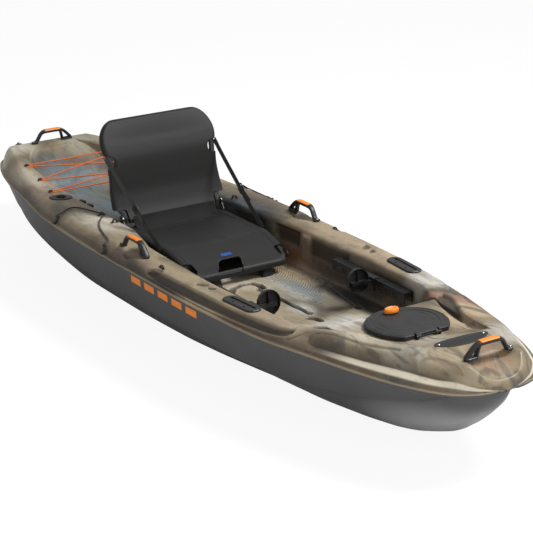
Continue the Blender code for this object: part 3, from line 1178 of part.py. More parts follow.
def main():
    """Build every piece of the kayak."""
    for old in list(bpy.data.objects):
        bpy.data.objects.remove(old)
    camouflage = material("camouflage plastic", (0.42, 0.37, 0.27), 0.45)
    grey = material("grey plastic", (0.10, 0.10, 0.105), 0.40)
    black = material("black plastic", (0.02, 0.02, 0.021), 0.45)
    orange = material("orange plastic", (0.85, 0.20, 0.02), 0.45)
    rubber = material("black rubber", (0.015, 0.015, 0.015), 0.80)
    foam = material("white foam", (0.80, 0.80, 0.78), 0.90)
    metal = material("painted tube", (0.025, 0.025, 0.027), 0.35, 0.6)
    cloth = material("charcoal cloth", (0.022, 0.022, 0.021), 0.85)
    webbing = material("black webbing", (0.012, 0.012, 0.012), 0.90)
    elastic = material("orange cord", (0.80, 0.14, 0.02), 0.70)
    hull = make_hull(grey)
    deck = make_deck(camouflage)
    hull_tree, deck_tree = skin_tree(hull), skin_tree(deck)
    plug_place = seat_on(deck_tree, *inboard(DRAIN_PLUG, -1), (1.0, 0.0, 0.0), 0.014, 0.014)
    points, faces = disc(0.0, 0.0, -0.03, PLUG_STUB + GAP, 0.06, 16)
    plug_hole = add_object("plug hole", [plug_place @ Vector(p) for p in points], faces, camouflage)
    combine(deck, [(plug_hole, "DIFFERENCE")])
    make_drain_plug(plug_place, black)
    make_foam("foam_seat", (-0.35, 0.0), 0.055, GAP, hull_tree, deck_tree, foam)
    make_foam("foam_bow", FOAM_BOW_STATIONS, 0.030, 3 * GAP, hull_tree, deck_tree, foam)
    make_foam("foam_stern", FOAM_STERN_STATIONS, 0.045, 4 * GAP, hull_tree, deck_tree, foam)
    for name, (x, y) in zip(("front_port", "front_starboard", "rear_port", "rear_starboard"), SCUPPERS):
        make_scupper("scupper_" + name, x, y, grey)

    make_handle("handle_bow", Matrix.Translation((BOW_HANDLE_X, 0.0, BOW_CROWN_Z - BOW_DIP + GAP))
                @ Matrix.Rotation(math.radians(90), 4, "Z"), black, orange)
    make_handle("handle_stern", Matrix.Translation((STERN_HANDLE_X, 0.0, STERN_CROWN_Z + GAP))
                @ Matrix.Rotation(math.radians(-90), 4, "Z"), black, orange)
    make_handle("handle_port", Matrix.Translation((SIDE_HANDLE_X, SIDE_HANDLE_Y, GUNWALE_Z + GAP)), black, orange)
    make_handle("handle_starboard", Matrix.Translation((SIDE_HANDLE_X, -SIDE_HANDLE_Y, GUNWALE_Z + GAP))
                @ Matrix.Rotation(math.radians(180), 4, "Z"), black, orange)
    for name, side in (("port", 1), ("starboard", -1)):
        make_gear_plate("gear_plate_" + name, side, black)
        make_rod_holder("rod_holder_" + name, side, black)
        make_rail("foot_rail_" + name, side, black)
        make_pedal("pedal_" + name, side, black)
        make_seat_foot("seat_foot_" + name, side, rubber)
        make_bracket("seat_bracket_" + name, side, metal)
        make_strap("strap_" + name, side, webbing)
        strap_eye_place = seat_on(deck_tree, *inboard(STRAP_EYE, side), (0.0, 1.0, 0.0), 0.016, EYE_WIDTH / 2)
        make_eye("strap_eye_" + name, strap_eye_place, black)
    eye_places = {}
    for name, side in (("port", 1), ("starboard", -1)):
        for i, spot in enumerate(EYES):
            place = seat_on(deck_tree, *inboard(spot, side), (0.0, 1.0, 0.0), 0.016, EYE_WIDTH / 2)
            make_eye(f"well_eye_{name}_{i + 1}", place, black)
            eye_places[name, i] = place
    make_cord("well_cord", well_route(eye_places), elastic, closed=True)

    hook_a = seat_on(deck_tree, *inboard(PADDLE_HOOKS[0], -1), (0.0, -1.0, 0.0), 0.018, HOOK_WIDTH / 2)
    hook_b = seat_on(deck_tree, *inboard(PADDLE_HOOKS[1], -1), (0.15, -1.0, 0.0), 0.018, HOOK_WIDTH / 2)
    make_cord_hook("paddle_hook_aft", hook_a, black)
    make_cord_hook("paddle_hook_fore", hook_b, black)
    paddle_eye = seat_on(deck_tree, *inboard(PADDLE_EYE, -1), (0.0, 1.0, 0.0), 0.016, EYE_WIDTH / 2)
    make_eye("paddle_eye", paddle_eye, black)
    route = [on_deck(deck_tree, *inboard(spot, -1), CORD_RADIUS + CORD_LIFT) for spot in PADDLE_ROUTE]
    route.insert(0, hook_a @ HOOK_END)
    route.append(hook_b @ HOOK_END)
    make_cord("paddle_cord_starboard", route, rubber)
    button = seat_on(deck_tree, *inboard(PORT_BUTTON, 1), (1.0, 0.0, 0.0), 0.013, 0.013)
    points, faces = disc(0.0, 0.0, 0.0, 0.013, 0.008, 16)
    add_object("paddle_button", [button @ Vector(p) for p in points], faces, black)
    hook_c = seat_on(deck_tree, *inboard(PORT_HOOK, 1), (1.0, 0.12, 0.0), 0.018, HOOK_WIDTH / 2)
    make_cord_hook("paddle_hook_port", hook_c, black)
    route = [on_deck(deck_tree, *inboard(spot, 1), CORD_RADIUS + CORD_LIFT) for spot in PORT_ROUTE]
    route.append(hook_c @ HOOK_END)
    make_cord("paddle_cord_port", route, rubber)
    make_hatch_rim(black)
    make_hatch_gasket(rubber)
    make_hatch_lid(black)
    make_hatch_knob(orange)
    make_hatch_rod(metal)
    make_base_frame(metal)
    make_base_cover(cloth)
    make_back_frame(metal)
    make_back_cover(cloth)

    hinge = Vector((HINGE_X, 0.0, HINGE_Z))
    pivots = {
        "drain_plug": plug_place.translation, "hatch_lid": Vector((HATCH_HINGE_X, 0.0, HINGE_ROD_Z)),
        "hatch_knob": Vector((KNOB_X, 0.0, FOREDECK_Z)), "pedal_port": Vector((PEDAL_X, PEDAL_Y, PEDAL_Z)),
        "pedal_starboard": Vector((PEDAL_X, -PEDAL_Y, PEDAL_Z))}
    pivots.update({"seat_" + name: hinge for name in SEAT_PARTS})
    pivots.update({name: hinge for name in ("backrest_frame", "backrest_cover", "strap_port", "strap_starboard")})
    for name, point in pivots.items():
        put_origin(bpy.data.objects[name], point)


main()
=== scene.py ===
"""Looks of the sit-on-top fishing kayak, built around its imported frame.

Metres, +X towards the bow, +Y to port, +Z up, as in the model.
"""

import json
import math

import bmesh
import bpy
import numpy as np
from mathutils import Matrix, Vector


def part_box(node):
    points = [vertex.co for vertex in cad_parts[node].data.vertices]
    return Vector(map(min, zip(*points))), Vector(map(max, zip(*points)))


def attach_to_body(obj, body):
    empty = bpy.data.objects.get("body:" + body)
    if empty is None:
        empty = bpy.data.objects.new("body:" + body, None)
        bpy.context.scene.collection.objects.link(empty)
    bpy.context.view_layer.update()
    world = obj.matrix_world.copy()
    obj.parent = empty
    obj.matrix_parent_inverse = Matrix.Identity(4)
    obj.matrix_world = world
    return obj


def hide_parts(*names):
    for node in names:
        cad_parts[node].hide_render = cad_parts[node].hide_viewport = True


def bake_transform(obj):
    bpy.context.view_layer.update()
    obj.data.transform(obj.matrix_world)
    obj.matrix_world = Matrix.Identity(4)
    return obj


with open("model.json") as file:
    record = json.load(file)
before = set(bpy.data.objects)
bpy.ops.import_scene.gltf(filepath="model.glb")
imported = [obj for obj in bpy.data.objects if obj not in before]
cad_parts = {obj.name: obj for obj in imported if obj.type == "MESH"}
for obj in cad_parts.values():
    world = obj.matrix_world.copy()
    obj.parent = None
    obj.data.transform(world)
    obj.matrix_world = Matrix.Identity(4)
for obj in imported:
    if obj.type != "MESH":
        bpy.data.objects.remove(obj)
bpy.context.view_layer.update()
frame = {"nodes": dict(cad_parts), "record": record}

# Boat, as in the model
LENGTH = 3.05
BOW_X = LENGTH / 2
STERN_X = -LENGTH / 2
BEAM = 0.864
WALL = 0.005
GAP = 0.0003
RIM_Z = 0.290
TIP_Z = RIM_Z + GAP
FLANGE = 0.012
GUNWALE_Z = 0.333
GUNWALE_OUTER = 0.056
FLOOR_Z = 0.185
WELL_FLOOR_Z = 0.200
BOW_CROWN_Z = 0.376
BOW_DECK_Z = BOW_CROWN_Z - 0.008
STERN_CROWN_Z = 0.367
FOREDECK_Z = 0.331
TUNNEL_DEPTH = 0.016
CHINE_Z = 0.145
STRAKE = 0.012
RAIL_WALL_Y = 0.278

# Places along the deck, from the stern and from the bow
WELL_AFT, WELL_RAMP, WELL_FORE, COCKPIT_AFT = 0.145, 0.420, 0.900, 0.960
COCKPIT_FORE, FOREDECK, SCOOP_AFT = 0.745, 0.630, 0.125
WELL_LIP = WELL_AFT - 0.012


# Lines of the boat

def fair(x, knots):
    """Smooth curve through (x, value) knots that never overshoots them."""
    xs, vs = np.array(knots, float).T
    run = np.diff(xs)
    rise = np.diff(vs) / run
    slope = np.zeros(len(xs))
    climbs = rise[:-1] * rise[1:] > 0
    slope[1:-1][climbs] = (2 * rise[:-1] * rise[1:])[climbs] / (rise[:-1] + rise[1:])[climbs]
    slope[0], slope[-1] = rise[0], rise[-1]
    x = np.clip(x, xs[0], xs[-1])
    i = np.clip(np.searchsorted(xs, x, side="right") - 1, 0, len(run) - 1)
    t = (x - xs[i]) / run[i]
    ends = vs[i] * (1 + 2 * t) * (1 - t) ** 2 + vs[i + 1] * t * t * (3 - 2 * t)
    return ends + run[i] * (slope[i] * t * (1 - t) ** 2 - slope[i + 1] * t * t * (1 - t))


def boat_line(x, stern, middle, bow):
    """Smooth curve through knots placed from the stern, amidships and from the bow."""
    return fair(x, [(STERN_X + d, v) for d, v in stern] + list(middle) + [(BOW_X - d, v) for d, v in bow])


def half_beam(x):
    """Half the width over the rim."""
    return BEAM / 2 * boat_line(
        x,
        ((0.0, 0.08), (0.008, 0.27), (0.030, 0.43), (0.120, 0.57), (0.305, 0.71), (0.560, 0.835),
         (0.850, 0.955)),
        ((-0.30, 1.0), (0.30, 1.0)),
        ((0.800, 0.945), (0.520, 0.81), (0.270, 0.655), (0.130, 0.515), (0.065, 0.41), (0.025, 0.29),
         (0.007, 0.17), (0.0, 0.06)))


def crown_z(x):
    """Top of the gunwale."""
    return boat_line(
        x,
        ((0.0, TIP_Z), (0.012, 0.317), (0.040, 0.346), (0.075, 0.360), (0.095, STERN_CROWN_Z),
         (0.145, STERN_CROWN_Z), (0.340, 0.355), (0.620, GUNWALE_Z)),
        (),
        ((0.690, GUNWALE_Z), (0.560, 0.352), (0.380, 0.364), (0.230, BOW_CROWN_Z), (0.125, BOW_DECK_Z),
         (0.075, BOW_DECK_Z), (0.040, 0.346), (0.012, 0.318), (0.0, TIP_Z)))


def floor_z(x):
    """Deck height on the centreline: well, cockpit, hatch shelf and bow deck."""
    level = boat_line(
        x,
        ((WELL_LIP, STERN_CROWN_Z), (WELL_AFT + 0.010, 0.352), (WELL_AFT + 0.120, 0.296),
         (WELL_RAMP - 0.060, WELL_FLOOR_Z + 0.012), (WELL_RAMP, WELL_FLOOR_Z), (WELL_FORE, WELL_FLOOR_Z),
         (COCKPIT_AFT, FLOOR_Z)),
        (),
        ((COCKPIT_FORE, FLOOR_Z), (FOREDECK + 0.020, FOREDECK_Z - 0.015), (FOREDECK, FOREDECK_Z),
         (0.380, FOREDECK_Z), (0.300, 0.352), (0.230, BOW_CROWN_Z), (SCOOP_AFT, BOW_DECK_Z)))
    ends = (x <= STERN_X + WELL_LIP) | (x >= BOW_X - SCOOP_AFT)
    return np.where(ends, crown_z(x), level)


def wall_y(x):
    """Half the width between the cockpit and tank well walls."""
    return boat_line(
        x,
        ((0.0, 0.010), (0.040, 0.060), (WELL_LIP, 0.100), (WELL_AFT + 0.040, 0.140),
         (WELL_AFT + 0.110, 0.172), (WELL_RAMP, 0.212), (0.720, 0.232), (COCKPIT_AFT, 0.238)),
        ((-0.30, 0.238), (-0.20, 0.250), (-0.10, 0.272), (0.10, RAIL_WALL_Y)),
        ((0.790, RAIL_WALL_Y), (FOREDECK + 0.040, 0.235), (0.420, 0.180), (0.230, 0.130), (0.100, 0.090),
         (0.030, 0.050), (0.0, 0.010)))


def shoulder_y(x):
    """Where the flat top of the gunwale begins."""
    return boat_line(
        x,
        ((0.0, 0.014), (0.040, 0.075), (WELL_LIP, 0.125), (WELL_AFT + 0.110, 0.200), (WELL_RAMP, 0.232),
         (0.720, 0.243), (COCKPIT_AFT, 0.246)),
        ((-0.30, 0.248), (-0.18, 0.280), (-0.10, 0.306), (0.10, 0.318), (0.30, 0.330), (0.46, 0.314)),
        ((0.860, 0.302), (0.760, 0.298), (FOREDECK + 0.040, 0.272), (0.420, 0.222), (0.230, 0.160),
         (0.100, 0.115), (0.030, 0.062), (0.0, 0.014)))


def gunwale_outer(x):
    """Width of the fall from the crown's outer edge to the rim."""
    return boat_line(
        x,
        ((0.0, 0.050), (0.110, 0.052), (0.250, 0.058), (0.400, 0.050), (0.700, GUNWALE_OUTER)),
        ((-0.40, GUNWALE_OUTER), (-0.19, GUNWALE_OUTER - 0.010), (0.05, GUNWALE_OUTER - 0.010),
         (0.18, GUNWALE_OUTER)),
        ((0.900, GUNWALE_OUTER), (0.450, GUNWALE_OUTER + 0.022), (0.200, GUNWALE_OUTER + 0.036),
         (0.0, GUNWALE_OUTER)))


def keel_z(x):
    """Underside of the hull on the centreline."""
    return boat_line(
        x,
        ((0.0, RIM_Z), (0.010, 0.225), (0.040, 0.140), (0.100, 0.082), (0.200, 0.042), (0.330, 0.016),
         (0.480, 0.003), (0.620, 0.0)),
        (),
        ((0.700, 0.0), (0.525, 0.005), (0.400, 0.016), (0.270, 0.050), (0.207, 0.080), (0.165, 0.110),
         (0.125, 0.140), (0.095, 0.170), (0.065, 0.200), (0.038, 0.230), (0.015, 0.260), (0.0, RIM_Z)))


def flat_y(x):
    """Half width of the flat of the hull bottom."""
    return boat_line(
        x,
        ((0.0, 0.002), (0.100, 0.050), (0.325, 0.150), (0.525, 0.184), (0.925, 0.222)),
        ((-0.30, 0.224), (0.0, 0.215), (0.20, 0.196), (0.40, 0.166), (0.60, 0.130)),
        ((0.700, 0.084), (0.525, 0.034), (0.400, 0.010), (0.0, 0.002)))


def chine(x):
    """Half width and height of the edge between the hull's side and bottom."""
    y = boat_line(
        x,
        ((0.0, 0.012), (0.010, 0.090), (0.030, 0.135), (0.075, 0.170), (0.125, 0.192), (0.225, 0.228),
         (0.325, 0.252), (0.525, 0.298), (0.925, 0.354)),
        ((-0.20, 0.370), (0.20, 0.370), (0.60, 0.355)),
        ((0.725, 0.312), (0.525, 0.262), (0.325, 0.205), (0.225, 0.165), (0.125, 0.115), (0.065, 0.068),
         (0.020, 0.025), (0.0, 0.006)))
    z = boat_line(
        x,
        ((0.0, RIM_Z), (0.010, 0.262), (0.030, 0.225), (0.075, 0.195), (0.225, 0.165),
         (0.525, CHINE_Z + 0.003)),
        ((-0.20, CHINE_Z), (0.20, CHINE_Z)),
        ((0.725, CHINE_Z), (0.525, CHINE_Z + 0.008), (0.325, 0.186), (0.225, 0.211), (0.125, 0.248),
         (0.065, 0.262), (0.0, RIM_Z)))
    return y, z


# Colours

KHAKI = (0.155, 0.120, 0.074)
SAND = (0.350, 0.282, 0.180)
SAND_LIGHT = (0.54, 0.485, 0.375)
CREAM = (0.68, 0.62, 0.49)
SAND_PINK = (0.345, 0.255, 0.185)
TAN = (0.50, 0.38, 0.245)
CLAY = (0.33, 0.205, 0.110)
ROSE = (0.34, 0.185, 0.130)
BROWN = (0.085, 0.062, 0.044)
BROWN_DARK = (0.040, 0.030, 0.021)
RUST = (0.185, 0.090, 0.045)
SLATE = (0.130, 0.180, 0.205)
SLATE_DARK = (0.060, 0.068, 0.070)
PALE = (0.56, 0.54, 0.49)
OLIVE_PALE = (0.385, 0.358, 0.285)
COAL = (0.026, 0.031, 0.034)
MOSS = (0.075, 0.075, 0.058)
SPECK = (0.08, 0.07, 0.055)
# the third hull colour is painted light, for the paler zones low on the bow and towards the stern
HULL_DARK, HULL_MIDDLE, HULL_PAINTED_LIGHT = (0.076, 0.076, 0.0765), (0.088, 0.088, 0.0885), (0.300, 0.300, 0.302)

# Zones of the deck: centre, reach (upwards SPOT_DEPTH where it isn't given), colour and share; two COAL zones
# by the seat are painted shade
SPOT_DEPTH = 0.20
SPOTS = (
    ((-1.41, -0.19, 0.35), (0.16, 0.18), CREAM, 0.97), ((-1.38, 0.14, 0.36), (0.14, 0.14), OLIVE_PALE, 0.80),
    ((-1.20, 0.30, 0.33), (0.30, 0.10), SAND, 0.80), ((-1.27, -0.30, 0.31), (0.14, 0.10), SAND_PINK, 0.80),
    ((-1.05, -0.29, 0.34), (0.22, 0.05), SAND_LIGHT, 0.85), ((-1.02, -0.40, 0.30), (0.26, 0.09), MOSS, 0.70),
    ((-1.18, 0.00, 0.25), (0.22, 0.24), SLATE, 0.92), ((-0.88, 0.00, 0.20), (0.30, 0.26), SLATE, 0.92),
    ((-1.24, 0.06, 0.28), (0.06, 0.11), RUST, 0.75), ((-1.05, 0.19, 0.27), (0.30, 0.09, 0.12), BROWN, 0.85),
    ((-0.72, 0.16, 0.22), (0.16, 0.12), COAL, 0.80), ((-0.64, -0.37, 0.32), (0.10, 0.07), MOSS, 0.80),
    ((-0.42, -0.31, 0.34), (0.26, 0.09), CREAM, 0.90), ((-0.20, -0.33, 0.34), (0.16, 0.07), SAND, 0.70),
    ((-0.10, -0.43, 0.30), (0.26, 0.09), BROWN, 0.75),
    ((0.02, -0.405, 0.32), (0.12, 0.040), BROWN_DARK, 0.75),
    ((0.22, -0.44, 0.29), (0.24, 0.07), BROWN_DARK, 0.95), ((0.38, -0.33, 0.34), (0.28, 0.08), SAND, 0.85),
    ((0.47, -0.41, 0.31), (0.18, 0.06), SAND, 0.60), ((0.80, -0.29, 0.34), (0.17, 0.09), SAND_PINK, 0.90),
    ((0.78, -0.40, 0.31), (0.24, 0.08), BROWN, 0.70), ((1.05, -0.22, 0.35), (0.15, 0.10), SAND_LIGHT, 0.85),
    ((1.25, -0.19, 0.37), (0.16, 0.09), OLIVE_PALE, 0.90), ((1.02, -0.33, 0.32), (0.16, 0.06), BROWN, 0.80),
    ((1.36, -0.25, 0.31), (0.18, 0.035), SLATE_DARK, 0.55), ((1.50, 0.04, 0.32), (0.07, 0.14), SAND, 0.75),
    ((1.45, 0.00, 0.36), (0.10, 0.09), CLAY, 0.97), ((1.12, 0.19, 0.36), (0.18, 0.11), TAN, 0.92),
    ((1.34, 0.15, 0.36), (0.12, 0.09), PALE, 0.60), ((0.86, -0.10, 0.32), (0.15, 0.26), PALE, 0.92),
    ((0.62, 0.04, 0.20), (0.10, 0.24), PALE, 0.95), ((1.16, -0.02, 0.34), (0.12, 0.12), OLIVE_PALE, 0.70),
    ((0.06, -0.04, 0.18), (0.18, 0.22), SAND_LIGHT, 0.80),
    ((0.22, 0.10, 0.18), (0.20, 0.12), OLIVE_PALE, 0.75), ((0.30, -0.08, 0.18), (0.22, 0.14), SAND, 0.92),
    ((0.41, 0.02, 0.18), (0.12, 0.08), PALE, 0.70), ((0.44, 0.14, 0.18), (0.16, 0.10), SLATE_DARK, 0.60),
    ((0.42, 0.24, 0.19), (0.34, 0.08, 0.16), COAL, 0.97),
    # painted shadow: the first COAL zone on the next line darkens the cockpit floor under the seat
    ((-0.15, 0.00, 0.18), (0.15, 0.34, 0.16), COAL, 1.00), ((0.00, 0.28, 0.25), (0.12, 0.06), RUST, 0.90),
    ((0.24, 0.285, 0.28), (0.24, 0.032), BROWN_DARK, 0.90),
    ((0.60, 0.285, 0.27), (0.36, 0.034), BROWN_DARK, 0.95), ((-0.30, 0.38, 0.34), (0.30, 0.07), KHAKI, 0.80),
    # painted shade: the first COAL zone on the next line darkens the port wall beside and behind the seat
    ((-0.30, 0.262, 0.31), (0.36, 0.100, 0.25), COAL, 1.00), ((0.14, 0.35, 0.34), (0.26, 0.08), SAND, 0.85),
    ((0.42, 0.35, 0.34), (0.22, 0.08), TAN, 0.65), ((0.72, 0.34, 0.34), (0.16, 0.09), PALE, 0.90),
    ((0.84, 0.23, 0.32), (0.12, 0.06), RUST, 0.85), ((0.95, 0.29, 0.34), (0.10, 0.08), MOSS, 0.60),
    ((0.98, 0.255, 0.32), (0.22, 0.045), ROSE, 0.85), ((1.20, 0.275, 0.32), (0.18, 0.050), RUST, 0.60),
    ((0.24, 0.14, 0.18), (0.20, 0.075), SLATE, 0.70))
STREAKS = (
    (KHAKI, 3.4, 0.9, (1.0, 2.8, 2.4), 0.55, (0.50, 0.66), (3.1, 0.2, 1.0), 0.60),
    (BROWN, 4.0, 1.3, (1.0, 3.2, 2.6), -0.45, (0.54, 0.68), (7.4, 2.0, 5.0), 0.75),
    (SLATE_DARK, 3.8, 1.6, (1.0, 3.0, 2.4), 0.35, (0.53, 0.68), (1.3, 6.0, 2.5), 0.75))
# painted light: zones low on the bow and towards the stern are painted paler, as if lit from the floor below;
# centre, radii and share
HULL_PAINTED_LIGHT_SPOTS = (((1.36, 0.0, 0.10), (0.42, 0.5, 0.13), 1.0), ((-1.25, 0.0, 0.20), (0.60, 0.6, 0.25), 0.6))

# Painted light and shade on the seat's cloth along X: darker at the seat's rear and the backrest's foot,
# lighter towards the front
CLOTH_REAR_X, CLOTH_FRONT_X = -0.60, 0.10
CLOTH_PAINTED_SHADE = (
    (-0.60, 0.75), (-0.50, 0.55), (-0.45, 0.35), (-0.28, 0.55), (-0.14, 1.00), (-0.06, 1.70), (0.10, 1.70))


# Materials

def tone(colour, share):
    """Colour made darker or lighter."""
    return tuple(min(1.0, c * share) for c in colour)


class Shader:
    """Nodes of a material or world, and the calls that build them up."""

    def __init__(self, owner, surface):
        owner.use_nodes = True
        self.owner = owner
        self.tree = owner.node_tree
        self.surface = self.tree.nodes[surface]

    def feed(self, socket, value):
        """Link an input or set its value; a colour comes without its alpha."""
        if isinstance(value, bpy.types.NodeSocket):
            self.tree.links.new(value, socket)
        else:
            socket.default_value = (*value, 1.0) if socket.type == "RGBA" else value

    def put(self, kind, output, inputs=None, **settings):
        """An output of a new node with its settings and inputs."""
        made = self.tree.nodes.new("ShaderNode" + kind)
        for key, value in settings.items():
            setattr(made, key, value)
        for key, value in (inputs or {}).items():
            self.feed(made.inputs[key], value)
        return made.outputs[output]

    def paint(self, **inputs):
        """Feed inputs of the surface."""
        for key, value in inputs.items():
            self.feed(self.surface.inputs[key.replace("_", " ")], value)

    def maths(self, operation, *values):
        """Sum, product or the like of values."""
        return self.put("Math", "Value", dict(enumerate(values)), operation=operation)

    def vector(self, operation, *values):
        """Sum, product or the like of vectors."""
        return self.put("VectorMath", "Vector", dict(enumerate(values)), operation=operation)

    def ramp(self, value, stops):
        """Colour ramp over (position, colour) stops."""
        made = self.put("ValToRGB", "Color", {"Fac": value})
        band = made.node.color_ramp
        band.interpolation = "EASE"
        while len(band.elements) < len(stops):
            band.elements.new(0.5)
        for element, (position, colour) in zip(band.elements, stops):
            element.position = position
            element.color = (*colour, 1.0)
        return made

    def noise(self, over, scale, detail=3.0, roughness=0.5, distortion=0.0, stretch=(1, 1, 1), turn=0.0,
              offset=(0, 0, 0)):
        """Noise over coordinates that may be turned about z, stretched and moved."""
        moved = self.put("Mapping", "Vector", {"Vector": over, "Rotation": (0, 0, turn), "Scale": stretch,
                                               "Location": offset})
        return self.put("TexNoise", "Fac", {"Vector": moved, "Scale": scale, "Detail": detail,
                                            "Roughness": roughness, "Distortion": distortion})

    def mix(self, share, low, high):
        """Mix of two colours by a share."""
        return self.put("Mix", 2, {0: share, 6: low, 7: high}, data_type="RGBA")

    def spread(self, value, low, high, out_low=0.0, out_high=1.0):
        """Value taken smoothly from one range to another."""
        return self.put("MapRange", "Result", {"Value": value, "From Min": low, "From Max": high,
                                               "To Min": out_low, "To Max": out_high},
                        interpolation_type="SMOOTHSTEP")

    def spot(self, over, centre, radii):
        """Share that falls from one at a spot to zero at its radii."""
        scaled = self.vector("DIVIDE", self.vector("SUBTRACT", over, centre), radii)
        return self.spread(self.put("VectorMath", "Value", {0: scaled}, operation="LENGTH"), 1.0, 0.25)

    def bump(self, height, strength, distance):
        """Bump on the surface from a height."""
        inputs = {"Height": height, "Strength": strength, "Distance": distance}
        self.paint(Normal=self.put("Bump", "Normal", inputs))


def start_material(name, roughness, **inputs):
    """Shader of a new material, with its coordinates in the boat's frame."""
    m = Shader(bpy.data.materials.new(name), "Principled BSDF")
    m.paint(Roughness=roughness, **inputs)
    m.place = m.put("TexCoord", "Object")
    return m


def camouflage():
    """Marbled plastic: broad soft zones of sand, khaki, slate and brown, drawn out in streaks at the bow,
    with painted shade and a painted highlight.
    """
    m = start_material("camouflage plastic", 0.46, Specular_IOR_Level=0.42)
    warp = m.put("TexNoise", "Color", {"Vector": m.place, "Scale": 2.2, "Detail": 3.0, "Roughness": 0.55})
    pulled = m.vector("MULTIPLY", m.vector("SUBTRACT", warp, (0.5, 0.5, 0.5)), (0.24, 0.13, 0.04))
    swirl = m.vector("ADD", m.place, pulled)
    ground = m.noise(swirl, 1.9, 4.0, 0.50, 0.3, (1.0, 1.5, 1.2), 0.3)
    colour = m.ramp(ground, ((0.34, BROWN), (0.44, KHAKI), (0.55, SAND), (0.68, SAND_PINK)))
    slope = m.put("Attribute", "Fac", attribute_name="slope")
    # painted shade: the gunwales' outer flanks are mixed towards brown, as turned away from the light
    flank_shade = m.maths("MULTIPLY", m.spread(slope, 7.3, 9.0), m.spread(ground, 0.42, 0.58, 0.35, 0.80))
    colour = m.mix(flank_shade, colour, BROWN)
    # zones of colour, two of them painted shade by the seat
    for centre, reach, tint, most in SPOTS:
        near = m.spot(swirl, centre, (*reach, SPOT_DEPTH)[:3])
        colour = m.mix(m.maths("MULTIPLY", near, most), colour, tint)
    station = m.put("SeparateXYZ", "X", {"Vector": m.place})
    forward = m.spread(station, 0.55, 1.25, 0.45, 1.0)
    for tint, scale, distortion, stretch, turn, (low, high), offset, most in STREAKS:
        smoke = m.noise(swirl, scale, 7.0, 0.55, distortion, stretch, turn, offset)
        colour = m.mix(m.maths("MULTIPLY", forward, m.spread(smoke, low, high, 0.0, most)), colour, tint)
    # painted highlight: the upward face of the bow ledge is painted cream, as lit from above
    ledge = m.maths("MULTIPLY", m.spread(slope, 8.05, 8.30), m.spread(slope, 9.00, 8.70))
    ledge = m.maths("MULTIPLY", ledge, m.spread(station, 0.98, 1.15, 0.0, 0.85))
    colour = m.mix(ledge, colour, CREAM)
    mottle = m.noise(swirl, 38.0, 6.0, 0.62, 0.6, (1.0, 1.8, 1.4), 0.5)
    colour = m.mix(m.spread(mottle, 0.52, 0.72, 0.0, 0.30), colour, MOSS)
    colour = m.mix(m.spread(mottle, 0.46, 0.28, 0.0, 0.10), colour, PALE)
    colour = m.mix(m.spread(slope, 10.65, 10.85, 0.0, 0.6), colour, SAND)
    # painted shade: recesses are mixed towards dark brown, as in shadow
    painted_recess_shade = m.put("Attribute", "Fac", attribute_name="painted_recess_shade")
    colour = m.mix(m.maths("MULTIPLY", painted_recess_shade, 0.90), colour, BROWN_DARK)
    specks = m.spread(m.noise(m.place, 260.0, 2.0, 0.6), 0.60, 0.74, 0.0, 0.14)
    rough = m.spread(m.noise(m.place, 14.0, 4.0), 0.3, 0.7, 0.42, 0.54)
    m.paint(Base_Color=m.mix(specks, colour, SPECK), Roughness=rough)
    m.bump(m.noise(m.place, 420.0, 3.0, 0.55), 0.22, 0.0006)
    return m.owner


def moulded(name, colour, roughness, grain=900.0, depth=0.00012, variation=0.25):
    """Moulded plastic or rubber with a fine grain and slight changes of shade."""
    m = start_material(name, roughness)
    patch = m.noise(m.place, 22.0, 4.0)
    shade = m.ramp(patch, ((0.35, tone(colour, 1.0 - variation)), (0.65, tone(colour, 1.0 + variation))))
    m.paint(Base_Color=shade, Roughness=m.spread(patch, 0.3, 0.7, roughness - 0.05, roughness + 0.06))
    m.bump(m.noise(m.place, grain, 3.0, 0.6), 0.5, depth)
    return m.owner


def hull_plastic():
    """Grey polyethylene: satin, with the faint ripple of a rotational moulding, and painted light that makes
    it paler low on the bow and towards the stern.
    """
    m = start_material("hull plastic", 0.40, Specular_IOR_Level=0.34)
    colour = m.ramp(m.noise(m.place, 5.0, 5.0, 0.55, 0.3), ((0.3, HULL_DARK), (0.7, HULL_MIDDLE)))
    # painted light: paler zones on the bow and the stern
    for centre, radii, most in HULL_PAINTED_LIGHT_SPOTS:
        colour = m.mix(m.maths("MULTIPLY", m.spot(m.place, centre, radii), most), colour, HULL_PAINTED_LIGHT)
    m.paint(Base_Color=colour)
    ripple, peel = m.noise(m.place, 9.0, 2.0), m.noise(m.place, 500.0, 2.0)
    m.bump(m.maths("MULTIPLY_ADD", ripple, 0.6, peel), 0.12, 0.0010)
    return m.owner


